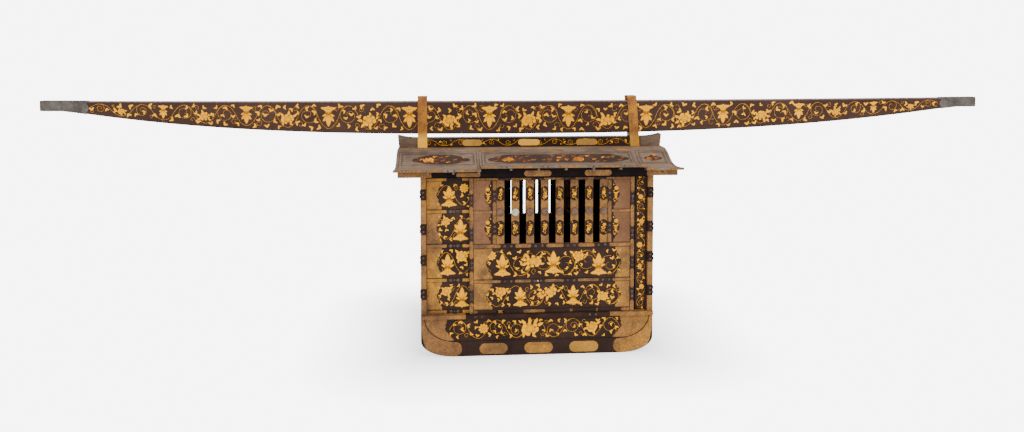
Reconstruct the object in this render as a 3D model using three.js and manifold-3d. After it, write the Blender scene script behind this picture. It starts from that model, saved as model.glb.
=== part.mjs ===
// Lacquered palanquin: a closed cabin with sliding doors and lifting roof flaps, hung from one long pole.
// Millimetres, +Z up. X runs along the pole, the seen long side faces -Y, and the origin lies on the
// ground under the middle of the pole.
import * as THREE from 'three';
import { mergeVertices } from 'three/addons/utils/BufferGeometryUtils.js';
import Module from 'manifold-3d';

const wasm = await Module();
wasm.setup();

// Fit between touching pieces, and between sliding or turning ones.
const GAP = 0.3;
const SLIDE_CLEARANCE = 0.5;
const FLAP_CLEARANCE = 1.5;

// Pole
const POLE_LENGTH = 4850;
const POLE_MID_HEIGHT = 169;
const POLE_END_HEIGHT = 48;
const POLE_DEPTH = 66;
const POLE_END_DEPTH = 46;
const POLE_BEVEL = 5;
const POLE_TOP_RISE = 9;
const POLE_TAPER_LEFT = 3.0;
const POLE_TAPER_RIGHT = 2.55;
const POLE_STRAIGHT_END = 120;
const POLE_STEP = 80;
const FERRULE_LEFT_LENGTH = 215;
const FERRULE_RIGHT_LENGTH = 180;
const FERRULE_POINT = 24;
const FERRULE_WALL = 2;
const FERRULE_END_PLATE = 4;

// Cabin: its centre lies a little to the right of the pole's.
const BODY_SHIFT = 25;
const BODY_LENGTH = 1120;
const BODY_DEPTH = 788;
const POST_WIDTH = 27;
const COLLAR_BULGE = 3.5;
const COLLAR_HEIGHT = 19;
const COLLAR_SPACING = 22;
const COLLAR_PAIRS_UP = [101, 265, 413, 579];

// Base: skirt boards whose lower corners curve in, the floor and the sills
const SKIRT_HEIGHT = 185;
const SKIRT_THICKNESS = 14;
const SKIRT_CORNER_RUN = 160;
const SKIRT_CORNER_RISE = 78;
const SKIRT_RAIL_HEIGHT = 72;
const SKIRT_FIELD_INSET = 17;
const SKIRT_FIELD_RUN = 150;
const SKIRT_FIELD_RECESS = 4;
const END_BOARD_THICKNESS = 12;
const END_BOARD_INSET = 3;
const FLOOR_THICKNESS = 20;
const SILL_THICKNESS = 18;
const SILL_PROJECTION = 14;
const SILL_WIDTH = 58;

// Walls, panelled in rows between rails
const WALL_HEIGHT = 656;
const WALL_THICKNESS = 14;
const WALL_RAIL = 16.6;
const WALL_RECESS = 5;
const WALL_PANEL_HEIGHTS = [137, 149, 149];
const WALL_LENGTH = 271;
const JAMB_WIDTH = 56;
const END_STILE = 22;
const LINTEL_DEPTH = 40;
const CEILING_THICKNESS = 6;
const CEILING_HEIGHT_ABOVE_LINTEL = 4;

// Sliding doors, in grooves in front of the wall
const DOOR_WIDTH = 797;
const DOOR_GAP_RIGHT = 64.5;
const DOOR_THICKNESS = 16;
const DOOR_SETBACK = 4;
const DOOR_STILE = 20;
const WINDOW_MARGIN = 130;
const WINDOW_STILE = 18.5;
const RAIL_BOTTOM = 18;
const PANEL_LOWER = 129;
const RAIL_MIDDLE = 17;
const PANEL_UPPER = 152;
const RAIL_WINDOW = 20;
const RAIL_TOP = 13;
const SIDE_BATTEN = 13;
const SIDE_BATTEN_UP = 148;
const SIDE_BATTEN_THICKNESS = 4;
const DOOR_BOARD = 8;
const GROOVE_BOTTOM = 3;
const GROOVE_TOP = 6;
const SLAT_COUNT = 8;
const SLAT_WIDTH = 37.5;
const SLAT_THICKNESS = 8;
const SLAT_TENON = 5;
const SLAT_BOSS_RADIUS = 16;
const SLAT_BOSS_HEIGHT = 4;

// Roof
const ROOF_LENGTH = 1364;
const ROOF_RUN = 497;
const ROOF_CROWN_Z = 967;
const ROOF_DROP = 63;
const ROOF_THICKNESS = 12;
const ROOF_STEPS = 26;
const FLAP_LEFT = -275;
const FLAP_RIGHT = 502.5;
const FLAP_HINGE_RUN = 155.5;
const FLAP_RAISE_DEG = 2.7;
const HINGE_LEAF_LENGTH = 78;
const HINGE_LEAF_WIDTH = 11;
const HINGE_LEAF_THICKNESS = 1.5;
const RAFTER_SIZE = 10;
const RAFTER_PITCH_FLAP = 129.5;
const RAFTER_PITCH_FIXED = 118.5;
const RAFTER_END_INSET = 9;
const RAFTER_LENGTH = 39;
const PURLIN_END_INSET = 18;
const PURLIN_BOTTOM_Z = 871;
const EAVE_PAST_PURLIN = 50;
const PURLIN_THICKNESS = 14;

// Ridge box, saddles and straps that carry the pole
const RIDGE_OVERHANG = 2;
const RIDGE_MID_HEIGHT = 48;
const RIDGE_END_RISE = 14;
const RIDGE_FLARE = 6;
const RIDGE_LEVEL_PAST_STRAP = 4;
const SADDLE_HEIGHT = 19;
const STRAP_WIDTH = 48;
const STRAP_THICKNESS = 5;
const STRAP_ROUND = 8;
const STRAP_SIDE_CLEARANCE = 1;
const STRAP_HEADROOM = 21;
const STRAP_LEFT_X = -558;
const STRAP_RIGHT_X = 545;
const STRAP_RIGHT_LEAN = 19;

// The drop of the roof's top surface, as [share of the run, share of the drop]
const ROOF_SHAPE = [
  [0, 0.03],
  [0.2, 0],
  [0.3, 0.09],
  [0.385, 0.29],
  [0.47, 0.61],
  [0.555, 0.86],
  [0.7, 1],
  [0.86, 0.95],
  [1, 0.825],
];

const lacquer = (color, roughness = 0.35) => new THREE.MeshStandardMaterial({ color, roughness, metalness: 0 });
const metal = (color, roughness = 0.45) => new THREE.MeshStandardMaterial({ color, roughness, metalness: 0.8 });
const blackLacquer = () => lacquer(0x2b2022);
const wornLacquer = () => lacquer(0x6b5a4c, 0.6);
const giltMount = () => metal(0x9a6c2e);
const darkIron = () => metal(0x5d564f, 0.6);

// Values worked out from the driving dimensions
const halfLength = BODY_LENGTH / 2;
const halfDepth = BODY_DEPTH / 2;
const innerX = halfLength - POST_WIDTH;
const sillBottom = SKIRT_HEIGHT + GAP;
const sillTop = sillBottom + SILL_THICKNESS;
const wallBottom = sillTop + GAP;
const lintelBottom = wallBottom + WALL_HEIGHT;
const doorFront = -halfDepth + DOOR_SETBACK;
const doorBack = doorFront + DOOR_THICKNESS;
const wallFront = doorBack + 3 * SLIDE_CLEARANCE;
const wallBack = wallFront + WALL_THICKNESS;
const lintelBack = -halfDepth + LINTEL_DEPTH;
const doorRight = innerX - DOOR_GAP_RIGHT;
const doorLeft = doorRight - DOOR_WIDTH;
const hingeY = -FLAP_HINGE_RUN;
const sillFront = -halfDepth - SILL_PROJECTION;

// Geometry helpers
function solid(geometry) {
  const bare = geometry.index ? geometry.clone() : mergeVertices(geometry.clone());
  for (const name of Object.keys(bare.attributes)) {
    if (name !== 'position') bare.deleteAttribute(name);
  }
  const merged = mergeVertices(bare, 1e-4);
  return new wasm.Manifold(
    new wasm.Mesh({
      numProp: 3,
      vertProperties: new Float32Array(merged.attributes.position.array),
      triVerts: new Uint32Array(merged.index.array),
    }),
  );
}

function geometryOf(manifold) {
  const mesh = manifold.getMesh();
  const geometry = new THREE.BufferGeometry();
  geometry.setAttribute('position', new THREE.BufferAttribute(mesh.vertProperties, mesh.numProp));
  geometry.setIndex(new THREE.BufferAttribute(mesh.triVerts, 1));
  const flat = geometry.toNonIndexed();
  flat.computeVertexNormals();
  return flat;
}

function box(x0, x1, y0, y1, z0, z1) {
  const geometry = new THREE.BoxGeometry(x1 - x0, y1 - y0, z1 - z0);
  return geometry.translate((x0 + x1) / 2, (y0 + y1) / 2, (z0 + z1) / 2);
}

function prism(points, depth) {
  const shape = new THREE.Shape(points.map(([a, b]) => new THREE.Vector2(a, b)));
  return new THREE.ExtrudeGeometry(shape, { depth, bevelEnabled: false, steps: 1 });
}

// An outline of [x, z] points, extruded from y0 to y1
function prismAlongY(points, y0, y1) {
  return prism(points, y1 - y0).rotateX(Math.PI / 2).translate(0, y1, 0);
}

// An outline of [y, z] points, extruded from x0 to x1
function prismAlongX(points, x0, x1) {
  const turn = new THREE.Matrix4().makeBasis(
    new THREE.Vector3(0, 1, 0),
    new THREE.Vector3(0, 0, 1),
    new THREE.Vector3(1, 0, 0),
  );
  return prism(points, x1 - x0).applyMatrix4(turn).translate(x0, 0, 0);
}

// A closed body through rings of equally many points, each ring in a plane across X
function loft(rings) {
  const count = rings[0].length;
  const positions = rings.flat(2);
  const index = [];
  for (let r = 0; r + 1 < rings.length; r += 1) {
    for (let k = 0; k < count; k += 1) {
      const a = r * count + k;
      const b = r * count + ((k + 1) % count);
      index.push(a, b, a + count, b, b + count, a + count);
    }
  }
  const last = (rings.length - 1) * count;
  for (let k = 1; k + 1 < count; k += 1) {
    index.push(0, k + 1, k);
    index.push(last, last + k, last + k + 1);
  }
  const geometry = new THREE.BufferGeometry();
  geometry.setAttribute('position', new THREE.Float32BufferAttribute(positions, 3));
  geometry.setIndex(index);
  return geometry;
}

function join(...geometries) {
  return geometries.map(solid).reduce((sum, next) => sum.add(next));
}

function cut(body, ...tools) {
  return tools.reduce((rest, tool) => rest.subtract(tool instanceof THREE.BufferGeometry ? solid(tool) : tool), body);
}

function piece(parent, name, form, material) {
  const geometry = form instanceof THREE.BufferGeometry ? form : geometryOf(form);
  const mesh = new THREE.Mesh(geometry, material);
  mesh.name = name;
  parent.add(mesh);
  return mesh;
}

// Roof surface
const roofPoints = new THREE.SplineCurve(
  ROOF_SHAPE.map(([run, drop]) => new THREE.Vector2(run * ROOF_RUN, ROOF_CROWN_Z - drop * ROOF_DROP)),
).getPoints(ROOF_STEPS);

function roofTopAt(y) {
  const run = Math.min(Math.abs(y), ROOF_RUN);
  const next = Math.max(1, roofPoints.findIndex((p) => p.x >= run - 1e-6));
  const [a, b] = [roofPoints[next - 1], roofPoints[next]];
  return a.y + ((b.y - a.y) * (run - a.x)) / (b.x - a.x);
}

const roofUnderAt = (y) => roofTopAt(y) - ROOF_THICKNESS;
const hingeZ = roofTopAt(hingeY) + HINGE_LEAF_THICKNESS;
const flapRaise = THREE.MathUtils.degToRad(FLAP_RAISE_DEG);

function lowestUnder(y0, y1, raise) {
  let lowest = Infinity;
  for (let k = 0; k <= 20; k += 1) {
    const y = y0 + ((y1 - y0) * k) / 20;
    lowest = Math.min(lowest, roofUnderAt(y) + raise * Math.abs(y - hingeY));
  }
  return lowest;
}

// The outline [y, z] of the roof's shell between two places across the roof, both with y <= 0
function shellOutline(outer, inner) {
  const runs = roofPoints.map((p) => -p.x).filter((y) => y > outer + 1 && y < inner - 1);
  const top = [outer, ...runs.sort((a, b) => a - b), inner];
  const over = top.map((y) => [y, roofTopAt(y)]);
  const under = top.map((y) => [y, roofUnderAt(y)]).reverse();
  return [...under, ...over];
}

function wholeRoofOutline() {
  const runs = roofPoints.map((p) => p.x);
  const across = [...runs.slice(1).reverse().map((y) => -y), ...runs];
  const over = across.map((y) => [y, roofTopAt(y)]);
  const under = across.map((y) => [y, roofUnderAt(y)]).reverse();
  return [...over, ...under];
}

function rafterStubs(positions) {
  const outer = -ROOF_RUN + RAFTER_END_INSET;
  const inner = outer + RAFTER_LENGTH;
  const outline = [
    [outer, roofUnderAt(outer) - RAFTER_SIZE],
    [inner, roofUnderAt(inner) - RAFTER_SIZE],
    [inner, roofUnderAt(inner) + ROOF_THICKNESS / 2],
    [outer, roofUnderAt(outer) + ROOF_THICKNESS / 2],
  ];
  return positions.map((x) => prismAlongX(outline, x - RAFTER_SIZE / 2, x + RAFTER_SIZE / 2));
}

function fixedRafterPlaces() {
  const places = [];
  const left = -ROOF_LENGTH / 2 + RAFTER_SIZE * 2;
  for (let x = FLAP_LEFT - RAFTER_SIZE; x > left; x -= RAFTER_PITCH_FIXED) {
    places.push(x);
  }
  places.push((FLAP_RIGHT + ROOF_LENGTH / 2) / 2);
  return places;
}

function flapRafterPlaces() {
  const width = FLAP_RIGHT - FLAP_LEFT;
  const count = Math.floor((width - RAFTER_SIZE * 4) / RAFTER_PITCH_FLAP);
  const middle = (FLAP_LEFT + FLAP_RIGHT) / 2 + RAFTER_SIZE;
  return Array.from({ length: count }, (_, k) => middle + (k - (count - 1) / 2) * RAFTER_PITCH_FLAP);
}

// Three hinge leaves along the flap's hinge line, on its outer or its inner side
function hingeLeaves(side) {
  const edge = hingeY - side * (FLAP_CLEARANCE / 2);
  const far = edge - side * HINGE_LEAF_WIDTH;
  const bed = HINGE_LEAF_THICKNESS;
  const outline = [
    [edge, roofTopAt(edge) - bed],
    [edge, roofTopAt(edge) + bed],
    [far, roofTopAt(far) + bed],
    [far, roofTopAt(far) - bed],
  ];
  if (side < 0) outline.reverse();
  const first = FLAP_LEFT + RAFTER_SIZE + HINGE_LEAF_LENGTH / 2;
  const last = FLAP_RIGHT - RAFTER_SIZE - HINGE_LEAF_LENGTH / 2;
  return [first, (first + last) / 2, last].map((x) =>
    prismAlongX(outline, x - HINGE_LEAF_LENGTH / 2, x + HINGE_LEAF_LENGTH / 2),
  );
}

function halfTurn(manifold) {
  return manifold.rotate([0, 0, 180]);
}

// Pole: deepest in the middle, with a nearly straight top edge
function poleSection(x, grow) {
  const half = POLE_LENGTH / 2;
  const share = Math.min(1, Math.abs(x) / (half - POLE_STRAIGHT_END));
  const taper = share ** (x < 0 ? POLE_TAPER_LEFT : POLE_TAPER_RIGHT);
  const height = POLE_MID_HEIGHT + (POLE_END_HEIGHT - POLE_MID_HEIGHT) * taper;
  const wide = (POLE_DEPTH + (POLE_END_DEPTH - POLE_DEPTH) * taper) / 2 + grow;
  const top = poleTopZ + POLE_TOP_RISE * (Math.abs(x) / half) ** 2 + grow;
  const bottom = top - height - 2 * grow;
  const b = POLE_BEVEL;
  return [
    [x, -wide, bottom + b],
    [x, -wide + b, bottom],
    [x, wide - b, bottom],
    [x, wide, bottom + b],
    [x, wide, top - b],
    [x, wide - b, top],
    [x, -wide + b, top],
    [x, -wide, top - b],
  ];
}

// Every loft along the pole has its rings at the same multiples of one step, so that they nest.
function poleLoft(from, to, grow) {
  const places = [from];
  for (let x = Math.ceil((from + 1) / POLE_STEP) * POLE_STEP; x < to - 1; x += POLE_STEP) {
    places.push(x);
  }
  places.push(to);
  return loft(places.map((x) => poleSection(x, grow)));
}

const strapInner = POLE_DEPTH / 2 + STRAP_SIDE_CLEARANCE;
const strapOuter = strapInner + STRAP_THICKNESS;
const ridgeBottom = Math.max(roofTopAt(0), roofTopAt(strapOuter)) + GAP;
const ridgeTop = ridgeBottom + RIDGE_MID_HEIGHT;
const poleBottomZ = ridgeTop + SADDLE_HEIGHT + 2 * GAP;
const poleTopZ = poleBottomZ + POLE_MID_HEIGHT;

function buildPole(parent) {
  const end = POLE_LENGTH / 2;
  const wood = end - FERRULE_END_PLATE;
  piece(parent, 'pole', poleLoft(-wood, wood, 0), blackLacquer());
  const ferrules = [
    ['ferrule_left', -1, FERRULE_LEFT_LENGTH],
    ['ferrule_right', 1, FERRULE_RIGHT_LENGTH],
  ];
  for (const [name, side, length] of ferrules) {
    const inner = side * (end - length - FERRULE_POINT);
    const [from, to] = side < 0 ? [-end, inner] : [inner, end];
    const [coreFrom, coreTo] = side < 0 ? [-wood - GAP, inner + 1] : [inner - 1, wood + GAP];
    const outer = solid(poleLoft(from, to, FERRULE_WALL + GAP));
    const core = poleLoft(coreFrom, coreTo, GAP);
    const middle = poleSection(inner, 0);
    const midZ = (middle[1][2] + middle[6][2]) / 2;
    const root = inner + side * FERRULE_POINT;
    const reach = POLE_MID_HEIGHT;
    const above = [
      [inner - side, midZ],
      [inner, midZ],
      [root, midZ + reach / 4],
      [root, midZ + reach],
      [inner - side, midZ + reach],
    ];
    const below = above.map(([x, z]) => [x, 2 * midZ - z]);
    const edges = [above, below].map((points) => prismAlongY(points, -POLE_DEPTH, POLE_DEPTH));
    piece(parent, name, cut(outer, core, ...edges), darkIron());
  }
}

// Straps: inverted U bands that stand on the roof, pass the ridge box and loop over the pole
function buildStrap(parent, name, x, lean) {
  const inner = strapInner;
  const outer = strapOuter;
  const foot = ridgeBottom;
  const top = poleTopZ + STRAP_HEADROOM + STRAP_THICKNESS;
  const round = STRAP_ROUND;
  const chamfer = round * 0.3;
  const outline = [
    [-outer, foot],
    [-inner, foot],
    [-inner, top - STRAP_THICKNESS],
    [inner, top - STRAP_THICKNESS],
    [inner, foot],
    [outer, foot],
    [outer, top - round],
    [outer - chamfer, top - chamfer],
    [outer - round, top],
    [-outer + round, top],
    [-outer + chamfer, top - chamfer],
    [-outer, top - round],
  ];
  const band = prismAlongX(outline, x - STRAP_WIDTH / 2, x + STRAP_WIDTH / 2);
  const slope = -lean / (top - foot);
  const shear = new THREE.Matrix4().set(1, 0, slope, -slope * foot, 0, 1, 0, 0, 0, 0, 1, 0, 0, 0, 0, 1);
  piece(parent, `strap_${name}`, band.applyMatrix4(shear), giltMount());

  const saddleX = x + slope * (ridgeTop - foot);
  const saddleHalf = STRAP_WIDTH / 2;
  const saddleDepth = inner - GAP;
  const saddle = box(
    saddleX - saddleHalf,
    saddleX + saddleHalf,
    -saddleDepth,
    saddleDepth,
    ridgeTop + GAP,
    ridgeTop + GAP + SADDLE_HEIGHT,
  );
  piece(parent, `saddle_${name}`, saddle, blackLacquer());
}

function buildRidge(parent) {
  const half = ROOF_LENGTH / 2 + RIDGE_OVERHANG;
  const depth = strapInner - GAP;
  const foot = half - RIDGE_FLARE;
  const top = [];
  const steps = 6;
  const level = Math.max(-STRAP_LEFT_X, STRAP_RIGHT_X) + STRAP_WIDTH / 2 + RIDGE_LEVEL_PAST_STRAP;
  for (let k = 0; k <= steps; k += 1) {
    const share = k / steps;
    const x = level + (half - level) * share;
    top.push([x, ridgeTop + RIDGE_END_RISE * share ** 2]);
  }
  const mirrored = top.map(([x, z]) => [-x, z]);
  const outline = [[-foot, ridgeBottom], [foot, ridgeBottom], ...top.reverse(), ...mirrored];
  piece(parent, 'ridge_box', prismAlongY(outline, -depth, depth), blackLacquer());
}

function flapGap(grow) {
  const y0 = -ROOF_RUN - RAFTER_SIZE;
  const y1 = hingeY + grow;
  return box(FLAP_LEFT - grow, FLAP_RIGHT + grow, y0, y1, 0, 2 * ROOF_CROWN_Z);
}

function buildRoof(parent) {
  const half = ROOF_LENGTH / 2;
  let roof = solid(prismAlongX(wholeRoofOutline(), -half, half));
  const fittings = rafterStubs(fixedRafterPlaces()).map(solid);
  for (const fitting of fittings) {
    roof = roof.add(fitting).add(halfTurn(fitting));
  }
  const opening = solid(flapGap(FLAP_CLEARANCE / 2));
  roof = roof.subtract(opening).subtract(halfTurn(opening));
  for (const leaf of hingeLeaves(-1).map(solid)) {
    roof = roof.add(leaf).add(halfTurn(leaf));
  }
  piece(parent, 'roof', roof, wornLacquer());
}

function buildFlap(parent, side) {
  const outer = -ROOF_RUN;
  const inner = hingeY - FLAP_CLEARANCE / 2;
  const left = FLAP_LEFT + FLAP_CLEARANCE / 2;
  const right = FLAP_RIGHT - FLAP_CLEARANCE / 2;
  const board = prismAlongX(shellOutline(outer, inner), left, right);
  const flap = join(board, ...rafterStubs(flapRafterPlaces()), ...hingeLeaves(1));
  const form = geometryOf(flap).translate(0, -hingeY, -hingeZ);
  const mesh = piece(parent, `${side}_roof_flap`, form, wornLacquer());
  mesh.position.set(0, hingeY, hingeZ);
  mesh.rotation.x = -flapRaise;
}

function buildPurlin(parent, side) {
  const front = -ROOF_RUN + EAVE_PAST_PURLIN;
  const back = front + PURLIN_THICKNESS;
  const half = ROOF_LENGTH / 2 - PURLIN_END_INSET;
  const low = lowestUnder(front, back, 0) - GAP;
  const high = lowestUnder(front, back, Math.sin(flapRaise)) - 3 * GAP;
  const inset = FLAP_CLEARANCE;
  const outline = [
    [-half, PURLIN_BOTTOM_Z],
    [half, PURLIN_BOTTOM_Z],
    [half, low],
    [FLAP_RIGHT - inset, low],
    [FLAP_RIGHT - inset, high],
    [FLAP_LEFT + inset, high],
    [FLAP_LEFT + inset, low],
    [-half, low],
  ];
  const armTop = lowestUnder(back, -halfDepth, 0) - GAP;
  const arms = [-halfLength, innerX].map((x) =>
    box(x, x + POST_WIDTH, back - 1, -halfDepth - GAP, PURLIN_BOTTOM_Z, armTop),
  );
  piece(parent, `${side}_purlin`, join(prismAlongY(outline, front, back), ...arms), blackLacquer());
}

// The rows of panels between the sill and the lintel, lowest first
function wallRows() {
  const heights = [...WALL_PANEL_HEIGHTS];
  const used = heights.reduce((sum, h) => sum + h, 0) + WALL_RAIL * (heights.length + 2);
  heights.push(WALL_HEIGHT - used);
  let z = wallBottom + WALL_RAIL;
  return heights.map((height) => {
    const row = { bottom: z, top: z + height };
    z = row.top + WALL_RAIL;
    return row;
  });
}

// Corner posts with a pair of ring collars beside each row of panels
function buildPost(parent, name, x) {
  const y = -halfDepth;
  const top = lowestUnder(-halfDepth, -halfDepth + POST_WIDTH, 0) - GAP;
  let post = solid(box(x, x + POST_WIDTH, y, y + POST_WIDTH, wallBottom, top));
  const inward = x < 0 ? 1 : -1;
  const outerX = x < 0 ? x : x + POST_WIDTH;
  for (const up of COLLAR_PAIRS_UP) {
    for (const side of [-1, 1]) {
      const z = wallBottom + up + (side * COLLAR_SPACING) / 2;
      const low = z - COLLAR_HEIGHT / 2;
      const high = z + COLLAR_HEIGHT / 2;
      const bulge = COLLAR_BULGE;
      const face = [
        [outerX + inward, low],
        [outerX + inward, high],
        [outerX - inward * bulge, high - bulge],
        [outerX - inward * bulge, low + bulge],
      ];
      if (inward > 0) face.reverse();
      post = post.add(solid(prismAlongY(face, y + bulge, y + POST_WIDTH - bulge)));
      const front = [
        [y - bulge, low + bulge],
        [y + 1, low],
        [y + 1, high],
        [y - bulge, high - bulge],
      ];
      post = post.add(solid(prismAlongX(front, x + bulge, x + POST_WIDTH - bulge)));
    }
  }
  piece(parent, name, post, giltMount());
}

// Base
function cornerArc(centreX, centreZ, run, rise, steps) {
  const points = [];
  for (let k = 0; k <= steps; k += 1) {
    const turn = (Math.PI / 2) * (k / steps);
    points.push([centreX + run * Math.sin(turn), centreZ - rise * Math.cos(turn)]);
  }
  return points;
}

function buildSkirt(parent, side) {
  const flatHalf = halfLength - SKIRT_CORNER_RUN;
  const right = [...cornerArc(flatHalf, SKIRT_CORNER_RISE, SKIRT_CORNER_RUN, SKIRT_CORNER_RISE, 10)];
  right.push([halfLength, SKIRT_HEIGHT]);
  const left = right.map(([x, z]) => [-x, z]).reverse();
  const board = solid(prismAlongY([...right, ...left], -halfDepth, -halfDepth + SKIRT_THICKNESS));

  const fieldHalf = halfLength - SKIRT_FIELD_INSET;
  const fieldRise = SKIRT_HEIGHT - SKIRT_RAIL_HEIGHT;
  const arc = cornerArc(fieldHalf - SKIRT_FIELD_RUN, SKIRT_HEIGHT, SKIRT_FIELD_RUN, fieldRise, 12);
  arc.push([fieldHalf, SKIRT_HEIGHT + 5]);
  const mirrored = arc.map(([x, z]) => [-x, z]).reverse();
  const front = -halfDepth;
  const field = prismAlongY([...arc, ...mirrored], front - 1, front + SKIRT_FIELD_RECESS);
  piece(parent, `${side}_skirt`, cut(board, field), blackLacquer());
}

function buildSill(parent, side) {
  const y0 = sillFront;
  const y1 = y0 + SILL_WIDTH;
  const groove = sillTop - GROOVE_BOTTOM;
  const outline = [
    [y0, sillBottom],
    [y1, sillBottom],
    [y1, sillTop],
    [doorBack + SLIDE_CLEARANCE, sillTop],
    [doorBack + SLIDE_CLEARANCE, groove],
    [doorFront - SLIDE_CLEARANCE, groove],
    [doorFront - SLIDE_CLEARANCE, sillTop],
    [y0 + 3, sillTop],
    [y0, sillTop - 3],
  ];
  const grooved = prismAlongX(outline, -innerX, innerX);
  const ends = [-halfLength, innerX].map((x) => box(x, x + POST_WIDTH, y0, y1, sillBottom, sillTop));
  piece(parent, `${side}_sill`, join(grooved, ...ends), blackLacquer());
}

// Panelled wall between x0 and x1, its panels set back from the rails and stiles
function panelledWall(x0, x1, stile) {
  const board = solid(box(x0, x1, wallFront, wallBack, wallBottom, lintelBottom - GAP));
  const recesses = wallRows().map(({ bottom, top }) =>
    box(x0 + stile[0], x1 - stile[1], wallFront - 1, wallFront + WALL_RECESS, bottom, top),
  );
  return cut(board, ...recesses);
}

function buildWalls(parent, side) {
  const wallLeft = -innerX + GAP;
  piece(parent, `${side}_wall`, panelledWall(wallLeft, wallLeft + WALL_LENGTH, [0.5, DOOR_STILE]), blackLacquer());
  const jamb = box(innerX - GAP - JAMB_WIDTH, innerX - GAP, wallFront, wallBack, wallBottom, lintelBottom - GAP);
  piece(parent, `${side}_jamb`, jamb, blackLacquer());
}

function buildLintel(parent, side) {
  const top = lowestUnder(-halfDepth, lintelBack, 0) - GAP;
  const groove = lintelBottom + GROOVE_TOP;
  const outline = [
    [-halfDepth, lintelBottom],
    [doorFront - SLIDE_CLEARANCE, lintelBottom],
    [doorFront - SLIDE_CLEARANCE, groove],
    [doorBack + SLIDE_CLEARANCE, groove],
    [doorBack + SLIDE_CLEARANCE, lintelBottom],
    [lintelBack, lintelBottom],
    [lintelBack, top],
    [-halfDepth, top],
  ];
  piece(parent, `${side}_lintel`, prismAlongX(outline, -innerX + GAP, innerX - GAP), blackLacquer());
}

// Door
function buildDoor(parent, side) {
  const bottom = sillTop - GROOVE_BOTTOM + SLIDE_CLEARANCE;
  const top = lintelBottom + GROOVE_TOP - SLIDE_CLEARANCE * 3;
  const row1 = wallBottom + RAIL_BOTTOM;
  const row1Top = row1 + PANEL_LOWER;
  const row2 = row1Top + RAIL_MIDDLE;
  const row2Top = row2 + PANEL_UPPER;
  const window = row2Top + RAIL_WINDOW;
  const windowTop = lintelBottom - RAIL_TOP;
  const innerLeft = doorLeft + DOOR_STILE;
  const innerRight = doorRight - DOOR_STILE;
  const windowLeft = doorLeft + WINDOW_MARGIN;
  const windowRight = doorRight - WINDOW_MARGIN;
  const sideRight = windowLeft - WINDOW_STILE;
  const sideLeft = windowRight + WINDOW_STILE;
  const boardFront = doorFront + SIDE_BATTEN_THICKNESS;
  const boardBack = boardFront + DOOR_BOARD;

  const through = (x0, x1, z0, z1) => box(x0, x1, doorFront - 1, doorBack + 1, z0, z1);
  const slatFront = (doorFront + doorBack - SLAT_THICKNESS) / 2;
  const slatBack = slatFront + SLAT_THICKNESS;
  const slot = (z0, z1) => box(windowLeft, windowRight, slatFront - GAP, slatBack + GAP, z0, z1);
  const openings = [
    through(innerLeft, innerRight, row1, row1Top),
    through(innerLeft, innerRight, row2, row2Top),
    through(windowLeft, windowRight, window, windowTop),
    through(innerLeft, sideRight, window, windowTop),
    through(sideLeft, innerRight, window, windowTop),
    slot(window - SLAT_TENON - GAP, window + 1),
    slot(windowTop - 1, windowTop + SLAT_TENON + GAP),
  ];
  let frame = cut(solid(box(doorLeft, doorRight, doorFront, doorBack, bottom, top)), ...openings);
  const battenZ = window + SIDE_BATTEN_UP;
  for (const [x0, x1] of [[innerLeft, sideRight], [sideLeft, innerRight]]) {
    const batten = box(x0 - 1, x1 + 1, doorFront, boardFront - GAP, battenZ, battenZ + SIDE_BATTEN);
    frame = frame.add(solid(batten));
  }
  piece(parent, `${side}_door_frame`, frame, giltMount());

  const boards = [
    ['lower_panel', innerLeft, innerRight, row1, row1Top, blackLacquer()],
    ['upper_panel', innerLeft, innerRight, row2, row2Top, blackLacquer()],
    ['side_panel_left', innerLeft, sideRight, window, windowTop, wornLacquer()],
    ['side_panel_right', sideLeft, innerRight, window, windowTop, wornLacquer()],
  ];
  for (const [name, x0, x1, z0, z1, material] of boards) {
    const board = box(x0 + GAP, x1 - GAP, boardFront, boardBack, z0 + GAP, z1 - GAP);
    piece(parent, `${side}_door_${name}`, board, material);
  }

  const rail = (z0, z1) => box(windowLeft + GAP, windowRight - GAP, slatFront, slatBack, z0, z1);
  const slats = [rail(window - SLAT_TENON, window - GAP), rail(windowTop + GAP, windowTop + SLAT_TENON)];
  const pitch = (windowRight - windowLeft - 2 * GAP - SLAT_WIDTH) / (SLAT_COUNT - 1);
  const middle = (window + windowTop) / 2;
  for (let k = 0; k < SLAT_COUNT; k += 1) {
    const x = windowLeft + GAP + k * pitch;
    slats.push(box(x, x + SLAT_WIDTH, slatFront, slatBack, window - 2 * GAP, windowTop + 2 * GAP));
    const boss = new THREE.CylinderGeometry(SLAT_BOSS_RADIUS, SLAT_BOSS_RADIUS * 0.7, SLAT_BOSS_HEIGHT + 1, 10);
    slats.push(boss.translate(x + SLAT_WIDTH / 2, slatFront + 1 - (SLAT_BOSS_HEIGHT + 1) / 2, middle));
  }
  piece(parent, `${side}_door_grille`, join(...slats), giltMount());
}

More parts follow.
